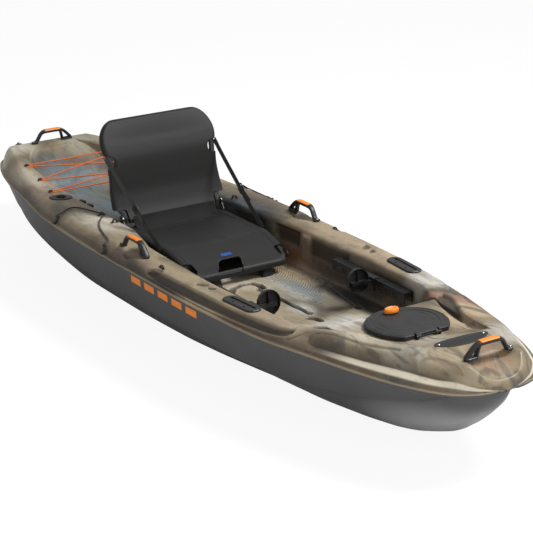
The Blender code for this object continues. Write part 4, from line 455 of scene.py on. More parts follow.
def woven(name, colour, pitch, roughness=0.85, lift=0.0004, sheen=0.25, painted_shade_along_x=()):
    """Plain weave: warp and weft threads that pass over and under each other; the last argument, if given,
    paints light and shade along X.
    """
    m = start_material(name, roughness, Sheen_Weight=sheen, Sheen_Roughness=0.5, Specular_IOR_Level=0.32)
    wave = {"Vector": m.place, "Scale": 0.31416 / pitch, "Distortion": 0.25, "Detail": 1.0}
    weave = m.maths("MAXIMUM", *(m.put("TexWave", "Fac", wave, wave_type="BANDS", bands_direction=axis)
                                 for axis in ("Y", "Z")))
    shade = m.ramp(m.noise(m.place, 7.0, 5.0, 0.6), ((0.3, tone(colour, 0.85)), (0.7, tone(colour, 1.18))))
    # painted light and shade: the cloth's colour is ramped darker and lighter along X, as the light falls on
    # the seat
    if painted_shade_along_x:
        run = CLOTH_FRONT_X - CLOTH_REAR_X
        along = m.spread(m.put("SeparateXYZ", "X", {"Vector": m.place}), CLOTH_REAR_X, CLOTH_FRONT_X)
        painted_light_ramp = m.ramp(along, [((x - CLOTH_REAR_X) / run, tone(colour, share)) for x, share in painted_shade_along_x])
        shade = m.mix(0.85, shade, painted_light_ramp)
    m.paint(Base_Color=m.mix(m.spread(weave, 0.2, 0.8), tone(colour, 0.45), shade))
    m.bump(weave, 0.45, lift)
    return m.owner


def enamel(name, colour):
    """Powder-coated tube."""
    m = start_material(name, 0.35, Coat_Weight=0.2)
    patch = m.noise(m.place, 30.0, 3.0)
    m.paint(Base_Color=m.ramp(patch, ((0.3, tone(colour, 0.8)), (0.7, tone(colour, 1.2)))))
    m.bump(m.noise(m.place, 1300.0, 2.0), 0.35, 0.00008)
    return m.owner


def steel(name):
    """Brushed stainless steel of screws and rivets."""
    m = start_material(name, 0.32, Metallic=1.0)
    patch = m.noise(m.place, 600.0, 2.0)
    m.paint(Base_Color=m.ramp(patch, ((0.3, (0.45, 0.45, 0.46)), (0.7, (0.62, 0.62, 0.63)))))
    return m.owner


def braided(name, colour, fleck):
    """Braided sheath of a bungee, with flecks of a second yarn."""
    m = start_material(name, 0.72, Sheen_Weight=0.2)
    yarn = m.put("TexVoronoi", "Distance", {"Vector": m.place, "Scale": 900.0, "Randomness": 0.35})
    sheath = m.ramp(yarn, ((0.15, colour), (0.55, tone(colour, 0.55))))
    m.paint(Base_Color=m.mix(m.spread(m.noise(m.place, 520.0, 1.0), 0.66, 0.72), sheath, fleck))
    m.bump(yarn, 0.6, 0.0004)
    return m.owner


# Mesh helpers

def smoothstep(low, high, value):
    """Smooth share between two limits."""
    t = np.clip((value - low) / (high - low), 0.0, 1.0)
    return t * t * (3 - 2 * t)


def rounded_box(u, v, half_u, half_v, corner):
    """Signed distance to a box with rounded corners, negative inside."""
    qu = np.abs(u) - half_u + corner
    qv = np.abs(v) - half_v + corner
    return np.hypot(np.maximum(qu, 0.0), np.maximum(qv, 0.0)) + np.minimum(np.maximum(qu, qv), 0.0) - corner


def pad(distance, edge):
    """One inside a shape, zero outside, with a soft edge."""
    return 1.0 - smoothstep(-edge / 2, edge / 2, distance)


def to_line(x, y, points):
    """Distance of points in plan to a line through the given points."""
    best = np.full(x.shape, 9.0)
    for (ax, ay), (bx, by) in zip(points, points[1:]):
        dx, dy = bx - ax, by - ay
        t = np.clip(((x - ax) * dx + (y - ay) * dy) / (dx ** 2 + dy ** 2), 0.0, 1.0)
        best = np.minimum(best, np.hypot(x - ax - t * dx, y - ay - t * dy))
    return best


def new_object(name, data):
    """Object for some data, put in the scene."""
    made = bpy.data.objects.new(name, data)
    bpy.context.scene.collection.objects.link(made)
    return made


def shade(mesh, degrees):
    """Smooth shading with edges sharp from an angle."""
    mesh.shade_smooth()
    mesh.set_sharp_from_angle(angle=math.radians(degrees))


def add_mesh(name, points, faces, finish):
    """Object from points and faces."""
    mesh = bpy.data.meshes.new(name)
    mesh.from_pydata([tuple(p) for p in points], [], faces)
    mesh.materials.append(finish)
    shade(mesh, 40)
    return new_object(name, mesh)


def attach(piece, body, stands_for=()):
    """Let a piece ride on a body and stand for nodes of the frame."""
    if body:
        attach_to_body(piece, body)
    if stands_for:
        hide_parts(*stands_for)


def grid_faces(rows, columns, keep=None):
    """Quads over a grid of points, row by row, leaving out those not kept."""
    i, j = np.meshgrid(np.arange(rows - 1), np.arange(columns - 1), indexing="ij")
    if keep is not None:
        i, j = i[keep], j[keep]
    first = (i * columns + j).ravel()
    return np.stack([first, first + 1, first + columns + 1, first + columns], 1)


def two_faced(front, back, faces):
    """Points and faces of a sheet from the points of its two sides."""
    turned = [tuple(f[::-1] + len(front)) for f in faces]
    return np.concatenate([front, back]), [tuple(f) for f in faces] + turned


def solid(name, parts, finish, body, stands_for=()):
    """Object joined from (points, faces) parts, riding on a body."""
    points, faces = [], []
    for part_points, part_faces in parts:
        faces += [tuple(i + len(points) for i in face) for face in part_faces]
        points += [tuple(p) for p in part_points]
    made = add_mesh(name, points, faces, finish)
    attach(made, body, stands_for)
    return made


def smooth_path(points, per=6):
    """Curve through points, with a number of steps between each two."""
    p = np.array(points, float)
    p = np.concatenate([2 * p[:1] - p[1:2], p, 2 * p[-1:] - p[-2:-1]])
    t = (np.arange(per) / per)[None, :, None]
    a, b, c, d = (p[i:len(p) - 3 + i, None] for i in range(4))
    bend = (2 * a - 5 * b + 4 * c - d) * t * t + (3 * b - a - 3 * c + d) * t ** 3
    line = 0.5 * (2 * b + (c - a) * t + bend)
    return np.concatenate([line.reshape(-1, 3), p[-2:-1]])


def sweep(path, half_width, half_height, up=(0.0, 0.0, 1.0), closed=False, sides=14, square=2.0):
    """Points and faces of an ellipse or, with a higher square, a rounded box drawn along a path."""
    path = np.array(path, float)
    along = np.roll(path, -1, 0) - np.roll(path, 1, 0) if closed else np.gradient(path, axis=0)
    along /= np.linalg.norm(along, axis=1, keepdims=True)
    across = np.cross(np.broadcast_to(np.array(up, float), along.shape), along)
    across /= np.maximum(np.linalg.norm(across, axis=1, keepdims=True), 1e-9)
    over = np.cross(along, across)
    turn = math.tau * (np.arange(sides) + 0.5) / sides
    u = np.sign(np.cos(turn)) * np.abs(np.cos(turn)) ** (2 / square)
    v = np.sign(np.sin(turn)) * np.abs(np.sin(turn)) ** (2 / square)
    wide = np.broadcast_to(half_width, len(path))[:, None, None]
    high = np.broadcast_to(half_height, len(path))[:, None, None]
    u, v = u[None, :, None], v[None, :, None]
    points = path[:, None] + across[:, None] * wide * u + over[:, None] * high * v
    faces = loop_faces(len(path), sides, closed)
    if not closed:
        faces += [tuple(reversed(range(sides))), tuple(range((len(path) - 1) * sides, len(path) * sides))]
    return points.reshape(-1, 3), faces


def loop_faces(rows, sides, closed=False):
    """Quads between closed loops of points."""
    faces = []
    for i in range(rows if closed else rows - 1):
        a, b = i * sides, (i + 1) % rows * sides
        for k in range(sides):
            m = (k + 1) % sides
            faces.append((a + k, a + m, b + m, b + k))
    return faces


def lathe(profile, place, sides=24):
    """Points and faces of a profile of (radius, height) turned about the z axis of a placement."""
    points = []
    for radius, height in profile:
        for k in range(sides):
            a = math.tau * k / sides
            points.append(place @ Vector((radius * math.cos(a), radius * math.sin(a), height)))
    faces = loop_faces(len(profile), sides)
    return points, faces + [tuple(reversed(range(sides))), tuple(range(len(points) - sides, len(points)))]


def placed(part, place):
    """Part moved to a placement."""
    points, faces = part
    return [place @ Vector(p) for p in points], faces


def skin(name, grid, finish, keep, flip=False, layers=None):
    """Moulding from a grid of points, given its wall towards the inside, with values for its material."""
    rows, columns = grid.shape[:2]
    faces = grid_faces(rows, columns, keep)
    if flip:
        faces = faces[:, ::-1]
    mesh = bpy.data.meshes.new(name)
    mesh.from_pydata(grid.reshape(-1, 3).tolist(), [], faces.tolist())
    for layer, values in (layers or {}).items():
        attribute = mesh.attributes.new(layer, "FLOAT", "POINT")
        attribute.data.foreach_set("value", values.ravel().astype(np.float32))
    work = bmesh.new()
    work.from_mesh(mesh)
    loose = [v for v in work.verts if not v.link_faces]
    bmesh.ops.delete(work, geom=loose, context="VERTS")
    work.to_mesh(mesh)
    work.free()
    mesh.materials.append(finish)
    shade(mesh, 50)
    made = new_object(name, mesh)
    thick = made.modifiers.new("wall", "SOLIDIFY")
    thick.thickness = WALL
    thick.offset = -1.0
    thick.use_even_offset = False
    return made


# Deck and hull

DECK_SPANS = (62, 4, 13, 5, 6, 14, 5, 6, 9, 4, 3)
HULL_SPANS = (12, 3, 6, 3, 6, 5, 5, 5, 5, 5, 3, 9, 9, 3)
FINE_STEP, COARSE_STEP = 0.0027, 0.0055
FULL_WIDTH = 0.16


def stations():
    """Lengthwise places of the fine sections: close at the ends and over the cockpit floor."""
    xs = [STERN_X]
    while xs[-1] < BOW_X - 1e-6:
        x = xs[-1]
        step = FINE_STEP if -0.05 < x < 0.60 else COARSE_STEP
        step = min(step, 0.0012 + 0.14 * min(x - STERN_X + 0.002, BOW_X - x + 0.002))
        xs.append(min(x + step, BOW_X))
    return np.array(xs)


def deck_sections(x):
    """Corner points of the deck's half sections, as (point, station) arrays of y and z."""
    rim = half_beam(x)
    top, floor = crown_z(x), floor_z(x)
    rise = top - floor
    flange_z = np.minimum(RIM_Z + GAP + WALL, top)
    narrow = np.minimum(1.0, rim / FULL_WIDTH)
    outer = rim - gunwale_outer(x) * narrow
    inner = np.minimum(shoulder_y(x), 0.92 * outer)
    wall = np.minimum(wall_y(x), 0.94 * inner)
    foot = wall - 0.010 * narrow
    fall = top - flange_z
    lip = FLANGE * narrow
    side = rim - outer
    ys = [0 * x, foot, wall, wall, wall + 0.32 * (inner - wall), inner, outer, outer + 0.30 * side,
          outer + 0.56 * side, rim - 1.3 * lip, rim - lip, rim]
    zs = [floor, floor, floor + 0.10 * rise, floor + 0.74 * rise, floor + 0.93 * rise, top, top,
          top - 0.19 * fall, top - 0.52 * fall, flange_z + 0.14 * fall, flange_z, flange_z]
    return np.array(ys), np.array(zs)


def fine_grid(x, ys, zs, spans, passes, rim_keep, crisp=()):
    """Grid over mirrored sections, round unless crisp, and each point's place along the half section."""
    shares = np.concatenate([i + np.arange(n) / n for i, n in enumerate(spans)] + [[len(spans)]])
    low = np.minimum(shares.astype(int), len(spans) - 1)
    t = (shares - low)[:, None]
    y = ys[low] * (1 - t) + ys[low + 1] * t
    z = zs[low] * (1 - t) + zs[low + 1] * t
    y = np.concatenate([-y[:0:-1], y])
    z = np.concatenate([z[:0:-1], z])
    s = np.concatenate([shares[:0:-1], shares])
    weight = np.minimum(1.0, np.arange(len(s)) / rim_keep)
    weight = np.minimum(weight, weight[::-1])[:, None]
    for corner in crisp:
        weight[np.abs(s - corner) < 1e-6] = 0.0
    weight[0] = weight[-1] = 0.0
    for _ in range(passes):
        for line in (y, z):
            line[1:-1] += weight[1:-1] * 0.25 * (line[:-2] - 2 * line[1:-1] + line[2:])
    grid = np.stack([np.broadcast_to(x, y.shape), y, z], -1).transpose(1, 0, 2)
    return grid.copy(), np.broadcast_to(s, (len(x), len(s)))


def grid_normals(grid):
    """Outward normals of a grid whose rows run forward and columns to port."""
    along = np.gradient(grid, axis=0)
    across = np.gradient(grid, axis=1)
    normal = np.cross(along, across)
    return normal / np.maximum(np.linalg.norm(normal, axis=-1, keepdims=True), 1e-12)


def hull_sections(x):
    """Corner points of the hull's half sections, as (point, station) arrays of y and z."""
    rim = half_beam(x)
    keel, flat = keel_z(x), flat_y(x)
    chine_y, chine_z = chine(x)
    under = np.maximum(RIM_Z - WALL, keel)
    lip = FLANGE * np.minimum(1.0, rim / FULL_WIDTH)
    bulge = np.clip(np.maximum((x - 0.60) / 0.60, (-x - 1.0) / 0.40), 0.0, 1.0)
    tunnel = TUNNEL_DEPTH * np.minimum(1.0, flat / 0.18)
    mid_y = flat + (0.5 + 0.40 * bulge) * (chine_y - flat)
    mid_z = keel + (0.5 - 0.32 * bulge) * (chine_z - keel)
    strake = STRAKE * np.clip((rim - 0.10) / 0.10, 0.0, 1.0)
    ys = [0 * x, 0.38 * flat, 0.46 * flat, 0.60 * flat, 0.68 * flat]
    zs = [keel, keel, keel + tunnel, keel + tunnel, keel]
    low_y, low_z = chine_y - strake, chine_z - 0.35 * strake
    for t in (0.0, 0.2, 0.4, 0.6, 0.8, 1.0):
        a, b, c = (1 - t) ** 2, 2 * t * (1 - t), t * t
        ys.append(a * flat + b * mid_y + c * low_y)
        zs.append(a * keel + b * mid_z + c * low_z)
    ys += [chine_y, chine_y + 0.55 * (rim - lip - chine_y), rim - lip, rim]
    zs += [chine_z, chine_z + 0.5 * (under - chine_z), under, under]
    return np.array(ys), np.array(zs)


def to_shape(u, v, corners):
    """Signed distance to a closed outline of (u, v) corners, negative inside."""
    best = np.full(u.shape, 9.0)
    inside = np.zeros(u.shape, bool)
    for (au, av), (bu, bv) in zip(corners, corners[1:] + corners[:1]):
        du, dv = bu - au, bv - av
        t = np.clip(((u - au) * du + (v - av) * dv) / (du * du + dv * dv), 0.0, 1.0)
        best = np.minimum(best, np.hypot(u - au - t * du, v - av - t * dv))
        crossed = (av > v) != (bv > v)
        with np.errstate(divide="ignore", invalid="ignore"):
            meets = u < du * (v - av) / dv + au
        inside ^= crossed & meets
    return np.where(inside, -best, best)


def rounded(corners, rounds=2):
    """Outline with its corners cut round."""
    for _ in range(rounds):
        cut = []
        for (au, av), (bu, bv) in zip(corners, corners[1:] + corners[:1]):
            for t in (0.25, 0.75):
                cut.append(((1 - t) * au + t * bu, (1 - t) * av + t * bv))
        corners = cut
    return corners


SLOPE_UNIT = 0.0115
SIDE_CHANNEL = (
    (0.084, 8.30), (0.100, 7.35), (0.188, 7.30), (0.356, 6.90), (0.540, 7.00), (0.700, 6.95),
    (0.800, 7.05), (0.838, 6.50), (0.850, 5.70), (0.872, 6.60), (0.866, 7.40), (0.828, 8.05),
    (0.724, 8.35), (0.564, 8.65), (0.292, 8.90), (0.124, 8.90))
LEDGE_X = (0.935, 0.985, 1.40, 1.478)
LEDGE_START, LEDGE_TOP, LEDGE_END = 6.60, 8.12, 8.90
LEDGE_DEPTH = 0.011
BOW_SEAMS = (
    ((0.950, 7.90), (0.941, 7.00), (0.948, 6.35), (0.970, 6.00), (1.014, 5.86), (1.074, 6.15),
     (1.129, 6.35), (1.250, 6.20)),
    ((0.925, 5.50), (0.904, 7.00), (0.871, 8.20)))
STERN_PLATEAU = (
    (-1.228, 4.50), (-1.220, 7.45), (-1.140, 7.65), (-1.076, 7.55), (-0.972, 8.00), (-0.860, 8.00),
    (-0.804, 7.35), (-0.804, 5.90), (-0.804, 4.50))
EYELET_RECESS = ((0.092, 7.10), (0.148, 6.00), (0.164, 7.20), (0.108, 7.85))
SLOPE_PANELS = (
    (SIDE_CHANNEL, -0.0110, 0.009, 0.0025), (STERN_PLATEAU, 0.0040, 0.008, 0.0),
    (EYELET_RECESS, -0.0070, 0.006, 0.0))
SEAM_HALF, SEAM_DEPTH = 0.0022, 0.0045
# depth of a recess that gets the full painted shade
SHADE_DEPTH = 0.008


def slope_features(grid, share):
    """Heights of the panels on the gunwales, along the surface's normals, and how dark they are painted as
    shade in their recesses and above the bow ledge.
    """
    x, v = grid[..., 0], share * SLOPE_UNIT
    height = np.zeros(x.shape)
    for corners, depth, edge, lip in SLOPE_PANELS:
        lows, highs = min(c[0] for c in corners) - 0.03, max(c[0] for c in corners) + 0.03
        rows = (x[:, 0] > lows) & (x[:, 0] < highs)
        outline = rounded([(cx, cs * SLOPE_UNIT) for cx, cs in corners])
        distance = to_shape(x[rows], v[rows], outline)
        height[rows] += depth * pad(distance, edge)
        height[rows] += lip * np.exp(-((distance - 0.6 * edge) / (0.5 * edge)) ** 2)
    reach = smoothstep(*LEDGE_X[:2], x) * (1.0 - smoothstep(*LEDGE_X[2:], x))
    bow = (x[:, 0] > 0.85) & (x[:, 0] < 1.28)
    for seam in BOW_SEAMS:
        distance = to_line(x[bow], v[bow], [(a, b * SLOPE_UNIT) for a, b in seam])
        height[bow] -= SEAM_DEPTH * pad(distance - SEAM_HALF, 0.0045)
    into = np.clip((share - LEDGE_START) / (LEDGE_TOP - LEDGE_START), 0.0, 1.0) ** 1.4
    back = np.clip((LEDGE_END - share) / (LEDGE_END - LEDGE_TOP), 0.0, 1.0)
    # painted shade: recesses and seams darkened as in shadow, and a dark band in the channel above the bow
    # ledge
    dark = np.clip(-height / SHADE_DEPTH, 0.0, 1.0) + 0.75 * reach * into * (share < LEDGE_TOP)
    return height - LEDGE_DEPTH * reach * np.where(share < LEDGE_TOP, into, back), dark


FLOOR_GROOVES = (
    (((0.143, -0.099), (0.110, -0.070), (0.094, -0.022), (0.101, 0.016), (0.128, 0.031), (0.163, 0.025)),
     0.0125, 0.0130),
    (((0.163, 0.025), (0.167, 0.002), (0.190, 0.010), (0.464, 0.021)), 0.0085, 0.0110),
    (((0.497, -0.008), (0.512, 0.006), (0.538, 0.014)), 0.0110, 0.0130),
    (((0.504, -0.050), (0.499, -0.025)), 0.0022, 0.0030),
    (((-0.008, -0.063), (0.020, -0.058)), 0.0040, 0.0060))
FLOOR_LINES = (
    ((0.414, 0.034), (0.393, 0.125)), ((0.414, 0.034), (0.470, 0.030)), ((0.550, 0.019), (0.494, 0.197)),
    ((0.494, 0.197), (0.300, 0.232)), ((0.020, 0.262), (0.300, 0.240)), ((0.012, 0.254), (0.300, 0.232)))
RIB_LOW, RIB_HIGH = 0.060, 0.237
RIB_X, RIB_HALF, RIB_DEPTH = 0.183, 0.156, 0.0046
RIB_COUNT = 22
RIB_PITCH = 0.311 / RIB_COUNT
DOT_Y, DOT_HALF, DOT_DEPTH = 0.054, 0.0030, 0.0060
DIMPLES = ((0.370, 0.215), (0.499, 0.204))


def floor_features(x, y):
    """Heights on the cockpit floor: ribs, grooves and thin lines, some of them on one side only."""
    height = np.zeros(x.shape)
    for line, half_width, depth in FLOOR_GROOVES:
        height -= depth * pad(to_line(x, y, line) - half_width, 0.0050)
    for line in FLOOR_LINES:
        height -= 0.0040 * pad(to_line(x, y, line) - 0.0016, 0.0040)
    for dx, dy in DIMPLES:
        height -= 0.004 * pad(np.hypot(x - dx, y - dy) - 0.007, 0.008)
    v = (y - RIB_LOW) / (RIB_HIGH - RIB_LOW)
    along = x - RIB_X + 0.120 * v * v - 0.118 * v * (1.0 - v)
    field = pad(np.abs(along) - RIB_HALF, 0.010) * pad(np.abs(v - 0.5) - 0.47, 0.06)
    height -= RIB_DEPTH * field * np.clip(0.05 + 1.3 * np.cos(math.tau * along / RIB_PITCH), 0.0, 1.0)
    dots = np.clip(1.6 * np.cos(math.tau * (x - RIB_X) / RIB_PITCH) - 0.3, 0.0, 1.0)
    row = pad(np.abs(y - DOT_Y) - DOT_HALF, 0.003) * pad(np.abs(x - RIB_X) - RIB_HALF, 0.010)
    return height - DOT_DEPTH * dots * row


# Cockpit walls: boxes of centre, half sizes, corner, edge and height
WALL_BOXES = (
    ((-0.045, 0.285), (0.075, 0.036), 0.022, 0.016, -0.016),
    ((-0.255, 0.265), (0.085, 0.050), 0.020, 0.020, -0.010),
    ((0.600, 0.275), (0.120, 0.018), 0.016, 0.010, -0.004))

# Hollows in the gunwales: outline, times its corners are cut, inset, edge and depth
HOLLOWS = (
    (((0.372, 0.352), (0.404, 0.318), (0.416, 0.345)), 1, 0.0, 0.005, 0.007),
    (((0.318, 0.362), (0.352, 0.325), (0.376, 0.335), (0.356, 0.362)), 1, 0.0, 0.006, 0.006),
    (((0.863, 0.281), (0.901, 0.217), (1.020, 0.180), (1.135, 0.160), (1.017, 0.219), (0.930, 0.264)),
     2, 0.004, 0.018, 0.013))
SIDE_SCOOP = (0.056, 0.040, 0.020)
BOW_SCOOP_WIDE, BOW_SCOOP_DEPTH, BOW_SCOOP_REACH = 0.086, 0.028, (1.385, 1.517)
BOW_SCOOP_START, BOW_SCOOP_LEVEL, BOW_SCOOP_TAPER, BOW_SCOOP_END = 1.392, 1.442, 1.480, 1.508
WELL_PANEL = (
    (-1.370, -0.094), (-1.370, 0.094), (-1.340, 0.125), (-1.280, 0.150), (-1.235, 0.157), (-1.215, 0.120),
    (-1.205, 0.000), (-1.215, -0.120), (-1.235, -0.157), (-1.280, -0.150), (-1.340, -0.125), (-1.370, -0.094))
SIDE_HANDLE_X = -0.068
SIDE_HANDLE_Y = 0.368
HATCH_X = BOW_X - 0.500
HATCH_AFT, HATCH_FORE, HATCH_SIDE, HATCH_FLAT = 0.118, 0.136, 0.143, 0.108
ROD_X, ROD_Y = -0.778, 0.290
ROD_HOLE = 0.0243
SCUPPERS = ((0.516, 0.193), (0.516, -0.193), (-0.900, 0.150), (-0.900, -0.150))
SCUPPER_HOLE = 0.0153
PLUG = (-1.447, -0.136, 0.361)
PLUG_HOLE = 0.0093


def wall_features(share, x, z):
    """Heights on the cockpit walls: pillar, ledge and the boxes."""
    ledge = smoothstep(0.238, 0.246, z) * pad(np.abs(x - 0.215) - 0.118, 0.016)
    pillar = pad(np.abs(x - 0.072) - 0.024, 0.022) * smoothstep(0.200, 0.225, z)
    height = 0.006 * pillar - 0.008 * ledge
    for (at_x, at_z), half, corner, edge, lift in WALL_BOXES:
        height += lift * pad(rounded_box(x - at_x, z - at_z, *half, corner), edge)
    return height * pad(np.abs(share - 2.5) - 0.9, 0.4)


def bow_scoop(x, y, z):
    """How far the hollow under the bow handle changes the deck's height."""
    into = np.clip((x - BOW_SCOOP_START) / 0.050, 0.0, 1.0)
    floor = BOW_CROWN_Z - 0.009 - BOW_SCOOP_DEPTH * smoothstep(0.0, 1.0, into)
    floor -= 0.30 * np.clip(x - BOW_SCOOP_LEVEL, 0.0, 1.0)
    across = np.abs(y) / (BOW_SCOOP_WIDE - 0.25 * np.clip(x - BOW_SCOOP_TAPER, 0.0, 0.04))
    hollow = floor + 0.024 * np.clip(across, 0.0, 3.0) ** 2.6
    inside = (x > BOW_SCOOP_REACH[0]) & (x < BOW_SCOOP_REACH[1])
    return (np.where(inside, np.minimum(z, hollow), z) - z) * pad(x - BOW_SCOOP_END, 0.014)


def deck_grid():
    """Upper face of the deck with its scoops, channels, ribs and panels, and the painted shade of its
    recesses.
    """
    x = stations()
    ys, zs = deck_sections(x)
    grid, share = fine_grid(x, ys, zs, DECK_SPANS, 3, 8)
    normal = grid_normals(grid)
    height, dark = slope_features(grid, share)
    walls = wall_features(share, grid[..., 0], grid[..., 2])
    grid += normal * (height + walls)[..., None]
    gx, gy = grid[..., 0], grid[..., 1]
    drop = np.zeros(gx.shape)
    rows = (x > -0.06) & (x < 0.60)
    drop[rows] += floor_features(gx[rows], gy[rows]) * (share[rows] < 1.0)
    long, wide, deep = SIDE_SCOOP
    for side in (-1, 1):
        bowl = 1.0 - ((gx - SIDE_HANDLE_X) / long) ** 2 - ((gy - side * SIDE_HANDLE_Y) / wide) ** 2
        drop -= deep * np.sqrt(np.clip(bowl, 0.0, 1.0))
        for corners, rounds, inset, edge, depth in HOLLOWS:
            drop -= depth * pad(to_shape(gx, gy * side, rounded(corners, rounds)) + inset, edge)
    # painted shade: grooves, ribs, hollows, side scoops and wall recesses, but not the bow scoop, are
    # darkened in colour as in shadow
    dark += np.clip(-(drop + np.minimum(walls, 0.0)) / SHADE_DEPTH, 0.0, 1.0)
    drop += bow_scoop(gx, gy, grid[..., 2])
    well = to_line(gx, gy, WELL_PANEL) - 0.003
    drop += 0.0025 * pad(well, 0.004) * (share < 1.6)
    grid[..., 2] += drop
    return grid, share, np.clip(dark, 0.0, 1.0)


def hatch_reach(x, y, inset):
    """Signed distance-like value of the hatch opening, negative inside."""
    nose = np.where(x > HATCH_X, HATCH_FORE, HATCH_AFT) - inset
    oval = np.hypot((x - HATCH_X) / nose, y / (HATCH_SIDE - inset)) - 1.0
    return np.maximum(oval * 0.12, x - HATCH_X - HATCH_FLAT + inset)


def snap_to_circle(grid, centre, radius, reach):
    """Move grid points close to a circle in plan onto it, and say which lie inside."""
    dx, dy = grid[..., 0] - centre[0], grid[..., 1] - centre[1]
    r = np.hypot(dx, dy)
    near = np.abs(r - radius) < reach
    scale = np.where(near, radius / np.maximum(r, 1e-9), 1.0)
    grid[..., 0] = centre[0] + dx * scale
    grid[..., 1] = centre[1] + dy * scale
    return np.where(near, radius, r) <= radius + 1e-6


def face_share(inside):
    """Faces of a grid all of whose corners are inside."""
    return inside[:-1, :-1] & inside[1:, :-1] & inside[:-1, 1:] & inside[1:, 1:]


def make_deck(finish):
    """Fine deck in place of the faceted one."""
    grid, share, painted_recess_shade = deck_grid()
    gone = face_share(hatch_reach(grid[..., 0], grid[..., 1], 0.0197) < 0.0)
    for side in (-1, 1):
        drop = np.maximum(GUNWALE_Z - grid[..., 2], 0.0)
        r = np.hypot(grid[..., 0] - ROD_X - 0.25 * drop, grid[..., 1] - side * (ROD_Y - 0.15 * drop))
        gone |= face_share(r < ROD_HOLE + 0.002)
    for centre in SCUPPERS:
        gone |= face_share(snap_to_circle(grid, centre, SCUPPER_HOLE, 0.0022))
    near = np.linalg.norm(grid - np.array(PLUG), axis=-1)
    gone |= face_share(near < PLUG_HOLE + 0.002)
    return skin("deck_shell", grid, finish, ~gone, flip=True, layers={"slope": share, "painted_recess_shade": painted_recess_shade})


def make_hull(finish):
    """Fine hull in place of the faceted one."""
    x = stations()
    ys, zs = hull_sections(x)
    grid, _ = fine_grid(x, ys, zs, HULL_SPANS, 3, 6, (10, 11))
    gone = np.zeros((len(x) - 1, grid.shape[1] - 1), bool)
    for centre in SCUPPERS:
        gone |= face_share(snap_to_circle(grid, centre, SCUPPER_HOLE, 0.0028))
    return skin("hull_shell", grid, finish, ~gone)


# Carried-over nodes

def dress(name, finish, bevel=0.0):
    """Give a node of the frame its material, and round its edges."""
    node = frame["nodes"][name]
    node.data.materials.clear()
    node.data.materials.append(finish)
    if bevel:
        round_off = node.modifiers.new("edges", "BEVEL")
        round_off.width = bevel
        round_off.segments = 2
        round_off.limit_method = "ANGLE"
        round_off.angle_limit = math.radians(32)


# Build

camo = camouflage()
grey = hull_plastic()
black = moulded("black plastic", (0.009, 0.009, 0.0095), 0.42)
orange = moulded("orange plastic", (1.0, 0.27, 0.022), 0.42, variation=0.06)
rubber = moulded("black rubber", (0.012, 0.012, 0.012), 0.74, 500.0)
foam = moulded("white foam", (0.78, 0.78, 0.76), 0.9, 220.0, 0.0008, 0.05)
tube_paint = enamel("painted tube", (0.022, 0.022, 0.024))
lid_plastic = moulded("hatch plastic", (0.015, 0.015, 0.015), 0.60)
# the seat cloth carries painted light and shade along X, darker at the rear and lighter at the front
cloth = woven("charcoal cloth", (0.0085, 0.0085, 0.0082), 0.0012, 0.54, 0.0002, 0.05, painted_shade_along_x=CLOTH_PAINTED_SHADE)
# painted light: the cloth in the fold is a lighter, matte copy of the seat cloth, set to the tone it shows
# where lit
lit_fold_cloth = woven("cloth in the fold", (0.019, 0.019, 0.0185), 0.0012, 0.95, 0.0002, 0.0)
webbing = woven("black webbing", (0.014, 0.014, 0.014), 0.0016)
bungee = braided("orange cord", (1.0, 0.21, 0.025), (1.0, 0.5, 0.2))
black_cord = braided("black cord", (0.018, 0.018, 0.018), (0.05, 0.05, 0.05))
screw_steel = steel("screw steel")
tag_cloth = woven("blue tag", (0.012, 0.085, 0.33), 0.0008, 0.6, 0.0001, 0.1)
plate_black = moulded("plate black", (0.003, 0.003, 0.003), 0.50, 900.0, 0.00003)
decal = moulded("orange decal", (0.95, 0.27, 0.02), 0.40, 1200.0, 0.00004, 0.05)

attach(make_deck(camo), "hull", ["deck"])
attach(make_hull(grey), "hull", ["hull"])

FINISHES = {
    "camouflage_plastic": (camo, 0.0), "grey_plastic": (grey, 0.0), "black_plastic": (black, 0.0012),
    "orange_plastic": (orange, 0.0012), "black_rubber": (rubber, 0.001), "white_foam": (foam, 0.0),
    "painted_tube": (tube_paint, 0.0005), "charcoal_cloth": (cloth, 0.0), "black_webbing": (webbing, 0.0),
    "orange_cord": (bungee, 0.0)}
for piece in frame["record"]["subparts"]:
    finish, bevel = FINISHES[piece["material_slot"]]
    dress(piece["node"], finish, bevel)
dress("hatch_lid", lid_plastic, 0.0012)
dress("hatch_rod", rubber)
for name in ("paddle_cord_port", "paddle_cord_starboard"):
    dress(name, black_cord)


# Handles

HANDLES = (
    ("bow", (BOW_X - 0.100, 0.0, BOW_DECK_Z + GAP), 90),
    ("stern", (STERN_X + 0.120, 0.0, STERN_CROWN_Z + GAP), -90),
    ("port", (SIDE_HANDLE_X, SIDE_HANDLE_Y, GUNWALE_Z + GAP), 0),
    ("starboard", (SIDE_HANDLE_X, -SIDE_HANDLE_Y, GUNWALE_Z + GAP), 180))
HANDLE_ARCH = (
    (0.082, 0.005), (0.072, 0.009), (0.063, 0.022), (0.053, 0.037), (0.040, 0.0455), (0.020, 0.0470),
    (-0.020, 0.0470), (-0.040, 0.0455), (-0.053, 0.0400), (-0.068, 0.0270), (-0.082, 0.0130),
    (-0.088, 0.0050))
HANDLE_STRUT = ((-0.036, 0.0440), (-0.041, 0.0350), (-0.045, 0.0210), (-0.048, 0.0050))
HANDLE_PADS = ((-0.069, 0.0245), (0.081, 0.0125))
INLAY_HALF, INLAY_Z, INLAY_RIBS = 0.036, 0.0490, 11
SCREW = ((0.0001, 0.0), (0.0042, 0.0), (0.0042, 0.0006), (0.0036, 0.0016), (0.0022, 0.0022),
         (0.0016, 0.0012), (0.0001, 0.0012))


